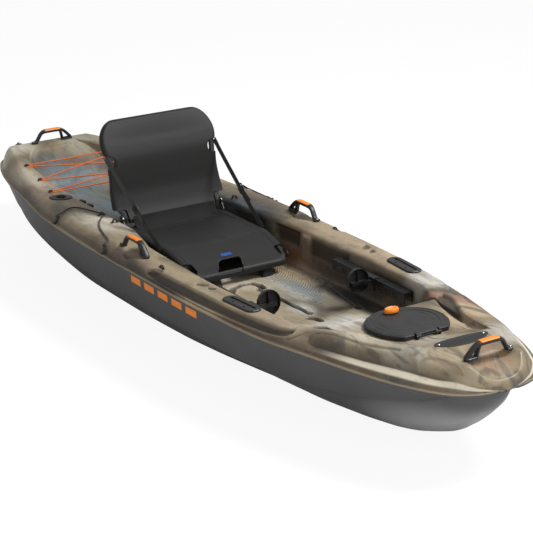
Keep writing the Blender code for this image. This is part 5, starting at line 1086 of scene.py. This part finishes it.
def make_handle(name, place, turn):
    """Carry handle: an arched grip with a strap loop at one end, screwed pads and a ribbed inlay."""
    at = Matrix.Translation(place) @ Matrix.Rotation(math.radians(turn), 4, "Z")
    arch = smooth_path([(u, 0.0, z) for u, z in HANDLE_ARCH])
    gripped = pad(np.abs(arch[:, 0]) - 0.043, 0.020)
    parts = [sweep(arch, 0.0062 + 0.0012 * gripped, 0.0100 + 0.0025 * gripped, up=(0, 1, 0), square=2.8)]
    strut = smooth_path([(u, 0.0, z) for u, z in HANDLE_STRUT])
    parts.append(sweep(strut, 0.0046, 0.0095, up=(0, 1, 0), square=2.8))
    for middle, half in HANDLE_PADS:
        u = np.linspace(-1.0, 1.0, 15)
        run = np.stack([middle + half * u, 0 * u, 0 * u + 0.0048], 1)
        parts.append(sweep(run, 0.0125 * np.sqrt(np.maximum(1 - u ** 6, 0.08)), 0.0046, square=3.5))
    solid(f"handle_{name}_body", [placed(p, at) for p in parts], black, "hull", [f"handle_{name}"])
    u = np.linspace(-INLAY_HALF, INLAY_HALF, 12 * INLAY_RIBS + 1)
    ribs = 0.5 + 0.5 * np.cos(math.tau * INLAY_RIBS * (u + INLAY_HALF) / (2 * INLAY_HALF))
    ends = pad(np.abs(u) - 0.034, 0.004)
    run = np.stack([u, 0 * u, 0 * u + INLAY_Z], 1)
    inlay = sweep(run, 0.0105 + 0.0012 * ends, 0.0058 + 0.0004 * ends + 0.0006 * (1 - ribs), square=3.2)
    solid(f"handle_{name}_inlay", [placed(inlay, at)], orange, "hull", [f"handle_{name}_grip"])
    screws = [lathe(SCREW, at @ Matrix.Translation((u, v, 0.0092))) for u, v in ((-0.086, 0.0), (0.087, 0.0))]
    solid(f"handle_{name}_screws", screws, screw_steel, "hull")


for name, place, turn in HANDLES:
    make_handle(name, place, turn)


# Seat cloth

SEAT_TUBE = 0.011
CLOTH = 0.003
CLOTH_OUT = SEAT_TUBE + 0.0018 + CLOTH
SEAT_RAIL_Y = 0.205
SEAT_RAIL_Z, SEAT_FRONT_Z = 0.285, 0.229
SEAT_REAR_X, SEAT_BEND_X, SEAT_FRONT_X = -0.405, -0.100, 0.065
SEAT_CORNER = 0.045
SEAT_SAG = 0.012
SKIRT = 0.012
BACK_TOP, BACK_FOOT = 0.674, 0.308
BACK_HALF, BACK_CORNER = 0.249, 0.085
BACK_SHOULDER = BACK_TOP - BACK_CORNER
BACK_THICK = 0.015
BACK_OPENING_Z = BACK_FOOT + 0.6175 * (BACK_TOP - BACK_FOOT)
OPENING_Y, OPENING_RADIUS = 0.226, 0.026
TONGUE_HALF, TONGUE_TOP_Z = 0.183, 0.362
PAST_SIDE = 0.28
HINGE_X, HINGE_Z = -0.425, 0.325
BACK_LINE = (
    (BACK_FOOT, -0.414, TONGUE_HALF), (HINGE_Z, HINGE_X, 0.205), (0.350, -0.440, 0.2215),
    (0.375, -0.452, 0.243), (0.420, -0.469, 0.240), (0.470, -0.4795, 0.236),
    (BACK_OPENING_Z, -0.4925, 0.239), (0.585, -0.514, BACK_HALF), (0.615, -0.532, BACK_HALF),
    (0.640, -0.548, BACK_HALF), (BACK_TOP, -0.572, BACK_HALF))


def seat_z(x):
    """Height of the base frame's centreline."""
    share = np.clip((x - SEAT_BEND_X) / (SEAT_FRONT_X - SEAT_BEND_X), 0.0, 1.0)
    return SEAT_RAIL_Z + (SEAT_FRONT_Z - SEAT_RAIL_Z) * share * (0.55 + 0.45 * share)


def seat_slope(x):
    """How steeply the base frame runs."""
    return (seat_z(x + 0.002) - seat_z(x - 0.002)) / 0.004


def seat_corner(middle, start):
    """Quarter turn of the base frame, as rows of x, y and the direction outwards."""
    rows = []
    for t in np.radians(np.linspace(0, 90, 10)):
        out_x, out_y = math.cos(start + t), math.sin(start + t)
        y = -SEAT_RAIL_Y + SEAT_CORNER + SEAT_CORNER * out_y
        rows.append((middle + SEAT_CORNER * out_x, y, out_x, out_y))
    return rows


def seat_outline():
    """Loop of the base frame in plan, as rows of x, y and the direction outwards."""
    half = seat_corner(SEAT_REAR_X + SEAT_CORNER, math.pi)
    half += [(x, -SEAT_RAIL_Y, 0.0, -1.0) for x in np.linspace(-0.34, 0.0, 18)]
    half += seat_corner(SEAT_FRONT_X - SEAT_CORNER, 1.5 * math.pi)
    return np.array(half + [(x, -y, nx, -ny) for x, y, nx, ny in reversed(half)])


def seat_loop(outset, lift, pull=0.0):
    """Loop round the base frame, drawn out, lifted or pulled towards the middle."""
    x, y, nx, ny = seat_outline().T
    x, y = x + nx * outset, y + ny * outset
    middle = np.clip(x, SEAT_REAR_X + 0.090, SEAT_FRONT_X - 0.080)
    x, y = x + (middle - x) * pull, y * (1.0 - pull)
    level = np.clip(x, SEAT_REAR_X, SEAT_FRONT_X)
    return np.stack([x, y, seat_z(level) + lift * np.hypot(1.0, seat_slope(level))], 1)


def carve(target, part, finish):
    """Cut a solid out of a piece."""
    tool = add_mesh("tool", *part, finish)
    cut = target.modifiers.new("cut", "BOOLEAN")
    cut.object = tool
    cut.solver = "EXACT"
    bpy.context.view_layer.update()
    done = bpy.data.meshes.new_from_object(target.evaluated_get(bpy.context.evaluated_depsgraph_get()))
    target.modifiers.clear()
    target.data = done
    bpy.data.objects.remove(tool)


def prism(outline, low, high, axis):
    """Points and faces of an outline extruded along an axis."""
    points = []
    for level in (low, high):
        for u, v in outline:
            points.append((u, v, level) if axis == "z" else (level, u, v))
    n = len(outline)
    return points, loop_faces(2, n) + [tuple(reversed(range(n))), tuple(range(n, 2 * n))]


def round_outline(corners, radius, steps=6):
    """Closed outline whose corners are arcs of a radius."""
    c = np.array(corners, float)
    points = []
    for i in range(len(c)):
        a, b, d = c[i - 1], c[i], c[(i + 1) % len(c)]
        into, out = (a - b) / np.linalg.norm(a - b), (d - b) / np.linalg.norm(d - b)
        for t in np.linspace(0.0, 1.0, steps):
            points.append(tuple(b + into * radius * (1 - t) ** 2 + out * radius * t * t))
    return points


HAND_HOLE = ((0.004, -0.066), (0.092, -0.116), (0.092, -0.006), (0.004, 0.036))
HAND_RADIUS = 0.028
HAND_STEPS = 10
HAND_LOW_Z = 0.2265
CUT_TOP_Z = 0.33
CORNER_HOLE = ((-0.062, 0.178), (-0.020, 0.176), (0.030, 0.212), (-0.010, 0.240), (-0.062, 0.240))
PULLS = (0.02, 0.05, 0.10, 0.17, 0.25, 0.35, 0.46, 0.58, 0.70, 0.82, 0.92, 0.98)


def make_seat_cloth():
    """Base cover: cloth pulled over the frame and round the front tube, with a bound hand hole."""
    loops = [seat_loop(CLOTH_OUT - 0.0025, -SKIRT), seat_loop(CLOTH_OUT, -SKIRT + 0.002)]
    for a in np.radians(np.linspace(0, 90, 7)):
        loops.append(seat_loop(CLOTH_OUT * math.cos(a), CLOTH_OUT * math.sin(a)))
    for pull in PULLS:
        dip = SEAT_SAG * (1.0 - (1.0 - pull) ** 2.4)
        loop = seat_loop(0.0, CLOTH_OUT, pull)
        x, y = loop[:, 0], loop[:, 1]
        fold = 0.0011 * np.sin(46.0 * y + 30.0 * x) * np.exp(-((x + 0.33) / 0.10) ** 2)
        loop[:, 2] += fold * (1 - pull) - dip
        loops.append(loop)
    count = len(loops[0])
    points = np.concatenate(loops)
    faces = loop_faces(len(loops), count)
    base = (len(loops) - 1) * count
    for i in range(count // 2 - 1):
        faces.append((base + i, base + i + 1, base + count - 2 - i, base + count - 1 - i))
    cover = add_mesh("seat_cloth", points, faces, cloth)
    thick = cover.modifiers.new("cloth", "SOLIDIFY")
    thick.thickness = CLOTH
    thick.offset = -1.0
    hole = round_outline(HAND_HOLE, HAND_RADIUS, HAND_STEPS)
    carve(cover, prism(hole, HAND_LOW_Z, CUT_TOP_Z, "z"), cloth)
    for side in (-1, 1):
        corner = round_outline([(SEAT_FRONT_X + x, y) for x, y in CORNER_HOLE], 0.008)
        carve(cover, prism([(x, side * y) for x, y in corner][::side], 0.18, CUT_TOP_Z, "z"), cloth)
    shade(cover.data, 50)
    attach(cover, "seat", ["seat_base_cover"])


def seat_top(x, y):
    """Height of the base cloth's upper face."""
    edge = np.clip(1.0 - np.abs(y) / SEAT_RAIL_Y, 0.0, 1.0)
    ends = np.clip(np.minimum(x - SEAT_REAR_X, SEAT_FRONT_X - x) / 0.085, 0.0, 1.0)
    pull = np.minimum(edge, ends)
    return seat_z(x) + CLOTH_OUT * np.hypot(1.0, seat_slope(x)) - SEAT_SAG * (1.0 - (1.0 - pull) ** 2.4)


def back_x(z):
    """Where the backrest's middle surface lies at a height."""
    return fair(z, [(level, x) for level, x, _ in BACK_LINE])


def back_half(z):
    """Half the width of the backrest at a height."""
    straight = fair(z, [(level, half) for level, _, half in BACK_LINE if level > 0.360])
    arched = BACK_HALF - BACK_CORNER + np.sqrt(np.maximum(0.0, BACK_CORNER ** 2 - (z - BACK_SHOULDER) ** 2))
    return np.where(z <= BACK_SHOULDER, straight, arched)


def make_back_cloth():
    """Backrest cover: a taut sleeve, drawn in between its tubes, with strap openings."""
    arch = (BACK_CORNER - BACK_THICK) * np.sin(np.radians(np.linspace(8, 90, 14)))
    heights = np.concatenate([np.linspace(0.312, BACK_SHOULDER, 44), BACK_SHOULDER + arch])
    levels = [(z, BACK_THICK) for z in heights]
    for a in np.radians((18, 36, 54, 70, 84)):
        levels.append((BACK_TOP - BACK_THICK * (1 - math.sin(a)), BACK_THICK * math.cos(a)))
    rings = []
    for z, thick in levels:
        run = float(back_x(z + 0.004) - back_x(z - 0.004))
        normal = np.array([0.008, 0.0, -run]) / math.hypot(0.008, run)
        reach = float(back_half(np.array(z))) - thick
        side = np.radians(np.linspace(-80, 80, 9))
        flat = np.linspace(-1.0, 1.0, 41)[1:-1]
        across = np.concatenate([flat * reach, reach + thick * np.cos(side[::-1]), -flat * reach,
                                 -reach - thick * np.cos(side)])
        below = BACK_TOP - BACK_THICK - z
        draw = 0.42 * min(1.0, (below + 0.001) / 0.06) if below > 0.0 else 0.0
        hollow = 1.0 - draw * (1.0 - flat ** 2) ** 0.6
        through = thick * np.concatenate([hollow, np.sin(side[::-1]), -hollow, np.sin(side)])
        through = through - 0.0070 * draw * (1.0 - np.clip(np.abs(across) / reach, 0.0, 1.0) ** 2)
        ring = np.array([float(back_x(z)), 0.0, z]) + normal * through[:, None]
        ring[:, 1] += across
        rings.append(ring)
    count = len(rings[-1])
    faces = [tuple(reversed(f)) for f in loop_faces(len(rings), count)]
    faces += [tuple(range(count)), tuple(reversed(range((len(rings) - 1) * count, len(rings) * count)))]
    cover = add_mesh("backrest_cloth", np.concatenate(rings), faces, cloth)
    for side in (-1, 1):
        notch = [(TONGUE_HALF, 0.28), (PAST_SIDE, 0.28), (PAST_SIDE, TONGUE_TOP_Z),
                 (TONGUE_HALF + 0.010, TONGUE_TOP_Z)]
        cut = [(side * y, z) for y, z in round_outline(notch, 0.010)][::side]
        carve(cover, prism(cut, -0.54, -0.34, "x"), cloth)
        arc = [(math.sin(a), math.cos(a)) for a in np.linspace(0.0, math.pi, 16)]
        cut = [(side * (OPENING_Y - OPENING_RADIUS * u), BACK_OPENING_Z + OPENING_RADIUS * v) for u, v in arc]
        cut += [(side * PAST_SIDE, BACK_OPENING_Z + rise) for rise in (-OPENING_RADIUS, OPENING_RADIUS)]
        carve(cover, prism(cut[::side], -0.62, -0.38, "x"), cloth)
    shade(cover.data, 50)
    attach(cover, "backrest", ["backrest_cover"])


make_seat_cloth()
make_back_cloth()


def on_seat(points, lift):
    """Points in plan laid on the base cloth."""
    xy = np.array(points, float)
    return np.stack([xy[:, 0], xy[:, 1], seat_top(xy[:, 0], xy[:, 1]) + lift], 1)


def make_seat_trim():
    """Bindings, seams, tag and corner fittings of the seat, and the cloth that closes its fold."""
    corners = round_outline(HAND_HOLE, HAND_RADIUS, HAND_STEPS)
    ends = [(SEAT_FRONT_X - 0.004, y) for y in (-0.0984, 0.0088)]
    rim = ends[:1] + corners[9::-1] + corners[:29:-1] + ends[1:]
    parts = [sweep(on_seat(rim, 0.0004), 0.0026, 0.0020, sides=8)]
    for x in (-0.105, -0.352):
        run = [(x, y) for y in np.linspace(-0.196, 0.196, 40)]
        parts.append(sweep(on_seat(run, 0.0), 0.0016, 0.0007, sides=6))
    for side in (-1, 1):
        run = [(x, side * 0.190) for x in np.linspace(-0.37, 0.00, 40)]
        parts.append(sweep(on_seat(run, 0.0006), 0.0014, 0.0008, sides=6))
    solid("seat_bindings", parts, webbing, "seat")
    u, v = np.meshgrid(np.linspace(-0.025, -0.009, 4), np.linspace(-0.037, 0.008, 8), indexing="ij")
    face = on_seat(np.stack([u.ravel(), v.ravel()], 1), 0.0016)
    sheet = two_faced(face, face - np.array([0.0, 0.0, 0.0009]), grid_faces(4, 8))
    attach(add_mesh("seat_tag", *sheet, tag_cloth), "seat")
    loops = []
    for side in (-1, 1):
        middle = np.array([SEAT_FRONT_X - 0.026, side * 0.204, 0.247])
        ring = [middle + np.array([0.021 * math.cos(a), side * 0.005 * math.sin(a), 0.013 * math.sin(a)])
                for a in np.linspace(0, math.tau, 20, endpoint=False)]
        loops.append(sweep(ring, 0.0030, 0.0022, up=(0, 1, 0), closed=True, sides=8))
        strut = [middle + np.array([t, 0.0, 0.0]) for t in np.linspace(-0.020, 0.020, 5)]
        loops.append(sweep(strut, 0.0032, 0.0024, sides=8))
    solid("seat_corner_loops", loops, black, "seat")
    t, y = np.meshgrid(np.linspace(0, 1, 12), np.linspace(-0.179, 0.179, 50), indexing="ij")
    x = -0.4035 + 0.046 * t ** 1.4
    base = seat_top(np.maximum(x, -0.398), y) + 0.0012
    z = base + (0.338 - base) * (1 - t) ** 3
    grid = np.stack([x, y, z], -1)
    under = grid - grid_normals(grid) * 0.002
    sheet = two_faced(grid.reshape(-1, 3), under.reshape(-1, 3), grid_faces(12, 50)[:, ::-1])
    # the fold is dressed in the lighter copy of the cloth, which is painted light
    flap = add_mesh("seat_fold", *sheet, lit_fold_cloth)
    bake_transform(flap)


STRAP_HALF = 0.0125
STRAP_TOP_Z = BACK_OPENING_Z + 0.018
STRAP_LOW = (-0.130, 0.2226, 0.292)


def make_strap(name, side):
    """Side strap with a sewn loop at each end, a ladder buckle and its loose tail."""
    reach = float(back_half(np.array(STRAP_TOP_Z))) - BACK_THICK + SEAT_TUBE + 0.0016
    high = np.array([float(back_x(STRAP_TOP_Z)) + 0.002, side * reach, STRAP_TOP_Z])
    low = np.array([STRAP_LOW[0], side * STRAP_LOW[1], STRAP_LOW[2]])
    t = np.linspace(0.0, 1.0, 41)[:, None]
    line = high * (1 - t) + low * t
    line[:, 2] -= 0.004 * np.sin(math.pi * t[:, 0])
    parts = [sweep(line, STRAP_HALF, 0.0008, up=(0, 1, 0), sides=12, square=5.0)]
    for end in (line[:4], line[-4:]):
        sewn = end + np.array([0, side * 0.0012, 0])
        parts.append(sweep(sewn, STRAP_HALF, 0.0007, up=(0, 1, 0), square=5.0))
    tail = line[23:29] + np.array([0, side, 0]) * np.linspace(0.002, 0.007, 6)[:, None]
    parts.append(sweep(tail, STRAP_HALF * 0.96, 0.0007, up=(0, 1, 0), sides=12, square=5.0))
    strap = solid(f"strap_{name}_web", parts, webbing, None)
    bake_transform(strap)
    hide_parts(f"strap_{name}")
    along = (low - high) / np.linalg.norm(low - high)
    across = np.cross(along, (0.0, 1.0, 0.0))
    out = np.array([0.0, side * 1.0, 0.0])
    centre = line[22] + out * 0.002
    frame_line = [centre + across * 0.0165 * cu + along * 0.0150 * cv for cu, cv in
                  round_outline(((-1, -1), (1, -1), (1, 1), (-1, 1)), 0.35, 4)]
    parts = [sweep(frame_line, 0.0024, 0.0020, up=(0, 1, 0), closed=True, sides=8, square=3.0)]
    for shift in (-0.004, 0.006):
        bar = [centre + along * shift + across * u + out * 0.001 for u in np.linspace(-0.0165, 0.0165, 5)]
        parts.append(sweep(bar, 0.0020, 0.0018, up=(0, 1, 0), sides=8))
    buckle = solid(f"strap_{name}_buckle", parts, black, None)
    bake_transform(buckle)


# Small fittings

def deck_height(x, y):
    """Height of the plain deck at a place on the gunwales."""
    ys, zs = deck_sections(np.array([x]))
    return float(np.interp(abs(y), ys[:, 0], zs[:, 0]))


PLATE_X, PLATE_HALF, PLATE_WIDE = 1.298, 0.105, 0.038
PLATE_RINGS = ((-0.0005, 0.0), (0.0012, 0.0), (0.0017, 0.0016), (0.0018, 0.006))
LID_TOP_Z = 0.3474
KNOB_RINGS = (
    (0.0235, 0.0125, 0.0), (0.0275, 0.0165, 0.003), (0.028, 0.017, 0.0075), (0.0272, 0.0162, 0.0125),
    (0.0245, 0.0135, 0.0163), (0.0205, 0.0105, 0.0168), (0.0165, 0.0080, 0.0148), (0.0120, 0.0055, 0.0118),
    (0.0010, 0.0005, 0.0112))
LID_STEPS = ((0.012, 0.0004), (0.030, 0.0010), (0.052, 0.0014))


def make_name_plate():
    """Bare lens-shaped plate behind the bow handle, with its two rivets."""
    rings = []
    for lift, inset in PLATE_RINGS:
        ring = []
        for a in np.linspace(0, math.tau, 64, endpoint=False):
            y = (PLATE_HALF - inset) * math.cos(a)
            x = PLATE_X + (PLATE_WIDE - inset) * math.sin(a) * (1 - 0.30 * math.cos(a) ** 4)
            ring.append((x, y, deck_height(x, y) + lift))
        rings += ring
    faces = loop_faces(4, 64)
    top = len(rings)
    rings.append((PLATE_X, 0.0, deck_height(PLATE_X, 0.0) + 0.0020))
    faces += [(top - 64 + k, top - 64 + (k + 1) % 64, top) for k in range(64)]
    solid("name_plate", [(rings, faces)], plate_black, "hull")
    rivets = [lathe(SCREW, Matrix.Translation((PLATE_X, y, deck_height(PLATE_X, y) + 0.0016)))
              for y in (-0.088, 0.088)]
    solid("name_plate_rivets", rivets, screw_steel, "hull")


def make_lid_steps():
    """Fine steps on the hatch lid."""
    parts = []
    for inset, lift in LID_STEPS:
        line = []
        for a in np.linspace(0, math.tau, 90, endpoint=False):
            nose = HATCH_FORE if math.cos(a) > 0 else HATCH_AFT
            x = min((nose - inset) * math.cos(a), HATCH_FLAT - inset)
            line.append((HATCH_X + x, (HATCH_SIDE - inset) * math.sin(a), LID_TOP_Z + lift))
        parts.append(sweep(line, 0.0016, 0.0009, closed=True, sides=8))
    solid("hatch_lid_steps", parts, lid_plastic, "hatch_lid")


def make_knob():
    """Oval dial with a rolled rim and a hollow middle, on its shaft with the catch."""
    low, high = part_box("hatch_knob")
    seat, middle = high.z - 0.017, 0.5 * (low.x + high.x)
    ring, sides = [], 40
    for long_half, short_half, lift in KNOB_RINGS:
        ring += [(middle + short_half * math.cos(a), long_half * math.sin(a), seat + lift)
                 for a in np.linspace(0, math.tau, sides, endpoint=False)]
    last = len(ring) - sides
    faces = loop_faces(len(KNOB_RINGS), sides)
    faces += [tuple(range(last, last + sides)), tuple(reversed(range(sides)))]
    shaft = sweep([(middle, 0.0, z) for z in (low.z + 0.0002, seat + 0.002)], 0.0058, 0.0058, up=(1, 0, 0))
    catch = sweep([(middle, y, low.z + 0.002) for y in (-0.0165, 0.002)], 0.0048, 0.0018, square=6.0)
    solid("hatch_dial", [(ring, faces), shaft, catch], orange, "hatch_knob", ["hatch_knob"])


def make_eyelets():
    """Small pad-eyes in the recesses on the gunwales."""
    parts = []
    for side in (-1, 1):
        at = Matrix.Translation((0.128, side * 0.372, deck_height(0.128, 0.372) - 0.004))
        hoop = [(0.013 * math.cos(a), 0.0, 0.011 * math.sin(a)) for a in np.linspace(0, math.pi, 12)]
        parts.append(placed(sweep(smooth_path(hoop, 2), 0.0030, 0.0026, up=(0, 1, 0), sides=10), at))
        foot = [(u, 0.0, 0.0015) for u in np.linspace(-0.020, 0.020, 9)]
        parts.append(placed(sweep(foot, 0.0075, 0.0026, square=3.0), at))
    solid("gunwale_eyelets", parts, black, "hull")


def make_clips():
    """Two moulded cleats on the starboard edge of the tank well."""
    parts = []
    for x in (-0.700, -0.640):
        run = [(x + t, -0.236 + 0.10 * t, 0.329) for t in np.linspace(-0.020, 0.020, 9)]
        bulge = np.sqrt(np.maximum(1 - np.linspace(-1, 1, 9) ** 4, 0.1))
        parts.append(sweep(run, 0.0085 * bulge, 0.0065 * bulge, square=3.0))
    solid("well_cleats", parts, black, "hull")


BARS_FROM, BARS_TO, BAR_COUNT = -0.030, 0.430, 5
BAR_LOW, BAR_HIGH = 0.240, 0.272


def make_hull_bars():
    """Plain slanted bars in orange on both sides of the hull."""
    parts = []
    pitch = (BARS_TO - BARS_FROM) / BAR_COUNT
    for side in (-1, 1):
        for k in range(BAR_COUNT):
            u, w = np.meshgrid(np.linspace(0, 1, 6), np.linspace(0, 1, 5), indexing="ij")
            x = BARS_FROM + (k + 0.72 * u + 0.16 * w) * pitch
            z = BAR_LOW + (BAR_HIGH - BAR_LOW) * w
            chine_y, chine_z = chine(x)
            edge = half_beam(x) - FLANGE
            fall = (RIM_Z - WALL - z) / (0.5 * (RIM_Z - WALL - chine_z))
            y = side * (edge - 0.45 * fall * (edge - chine_y) + 0.0009)
            face = np.stack([x, y, z], -1).reshape(-1, 3)
            back = face - np.array([0.0, side * 0.0012, 0.0])
            parts.append(two_faced(face, back, grid_faces(6, 5)[:, ::-side]))
    solid("hull_bars", parts, decal, "hull")


make_seat_trim()
for name, side in (("port", 1), ("starboard", -1)):
    make_strap(name, side)
make_name_plate()
make_lid_steps()
make_knob()
make_eyelets()
make_clips()
make_hull_bars()
for name in ("well_cord", "paddle_cord_port", "paddle_cord_starboard"):
    node = frame["nodes"][name]
    merge = node.modifiers.new("merge", "WELD")
    merge.merge_threshold = 0.00002
    soften = node.modifiers.new("round", "SUBSURF")
    soften.levels = soften.render_levels = 1


# Floor, light and camera

def make_floor():
    """Pale floor that shows all but white to the camera and keeps a faint shadow."""
    m = start_material("floor", 0.9)
    grain = m.noise(m.place, 3.0, 2.0)
    m.paint(Base_Color=m.ramp(grain, ((0.3, (0.84, 0.84, 0.84)), (0.7, (0.88, 0.88, 0.88)))))
    glow = m.put("Emission", 0, {"Color": (1.0, 1.0, 1.0), "Strength": 1.08})
    share = m.maths("MULTIPLY", m.put("LightPath", "Is Camera Ray"), 0.84)
    mixed = m.put("MixShader", 0, {0: share, 1: m.surface.outputs[0], 2: glow})
    m.feed(m.tree.nodes["Material Output"].inputs["Surface"], mixed)
    mesh = bpy.data.meshes.new("floor")
    corners = [(-14, -14, -0.001), (14, -14, -0.001), (14, 14, -0.001), (-14, 14, -0.001)]
    mesh.from_pydata(corners, [], [(0, 1, 2, 3)])
    mesh.materials.append(m.owner)
    floor = new_object("floor", mesh)


def add_lamp(name, place, aim, size, power):
    """Square area lamp that points at a spot."""
    lamp = bpy.data.lights.new(name, "AREA")
    lamp.shape = "SQUARE"
    lamp.size = size
    lamp.energy = power
    made = new_object(name, lamp)
    made.location = place
    made.rotation_euler = (Vector(aim) - Vector(place)).to_track_quat("-Z", "Y").to_euler()


def make_world():
    """Soft surrounding light; white to the camera and in reflections."""
    w = Shader(bpy.data.worlds.new("studio"), "Background")
    kinds = ("Camera", "Transmission", "Glossy")
    seen, through, glossy = (w.put("LightPath", f"Is {kind} Ray") for kind in kinds)
    seen = w.maths("MAXIMUM", w.maths("MAXIMUM", seen, through), w.maths("MULTIPLY", glossy, 0.35))
    strength = w.put("MapRange", "Result", {"Value": seen, "To Min": 0.30, "To Max": 1.0})
    w.paint(Color=(1.0, 1.0, 1.0), Strength=strength)
    bpy.context.scene.world = w.owner


make_floor()
make_world()
add_lamp("key", (1.9, 2.3, 4.2), (0.0, 0.0, 0.2), 1.4, 250.0)
add_lamp("front", (4.2, -3.0, 2.2), (0.0, 0.0, 0.2), 2.2, 26.0)
add_lamp("bow", (3.4, -2.0, 0.22), (1.3, -0.2, 0.15), 1.0, 26.0)

lens = bpy.data.cameras.new("camera")
lens.lens = 121.96
lens.sensor_width = 36.0
camera = new_object("camera", lens)
camera.location = (5.229, -3.3621, 2.4745)
camera.rotation_euler = (math.radians(70.09), 0.0, math.radians(56.1))
bpy.context.scene.camera = camera
bpy.context.scene.view_settings.view_transform = "Standard"
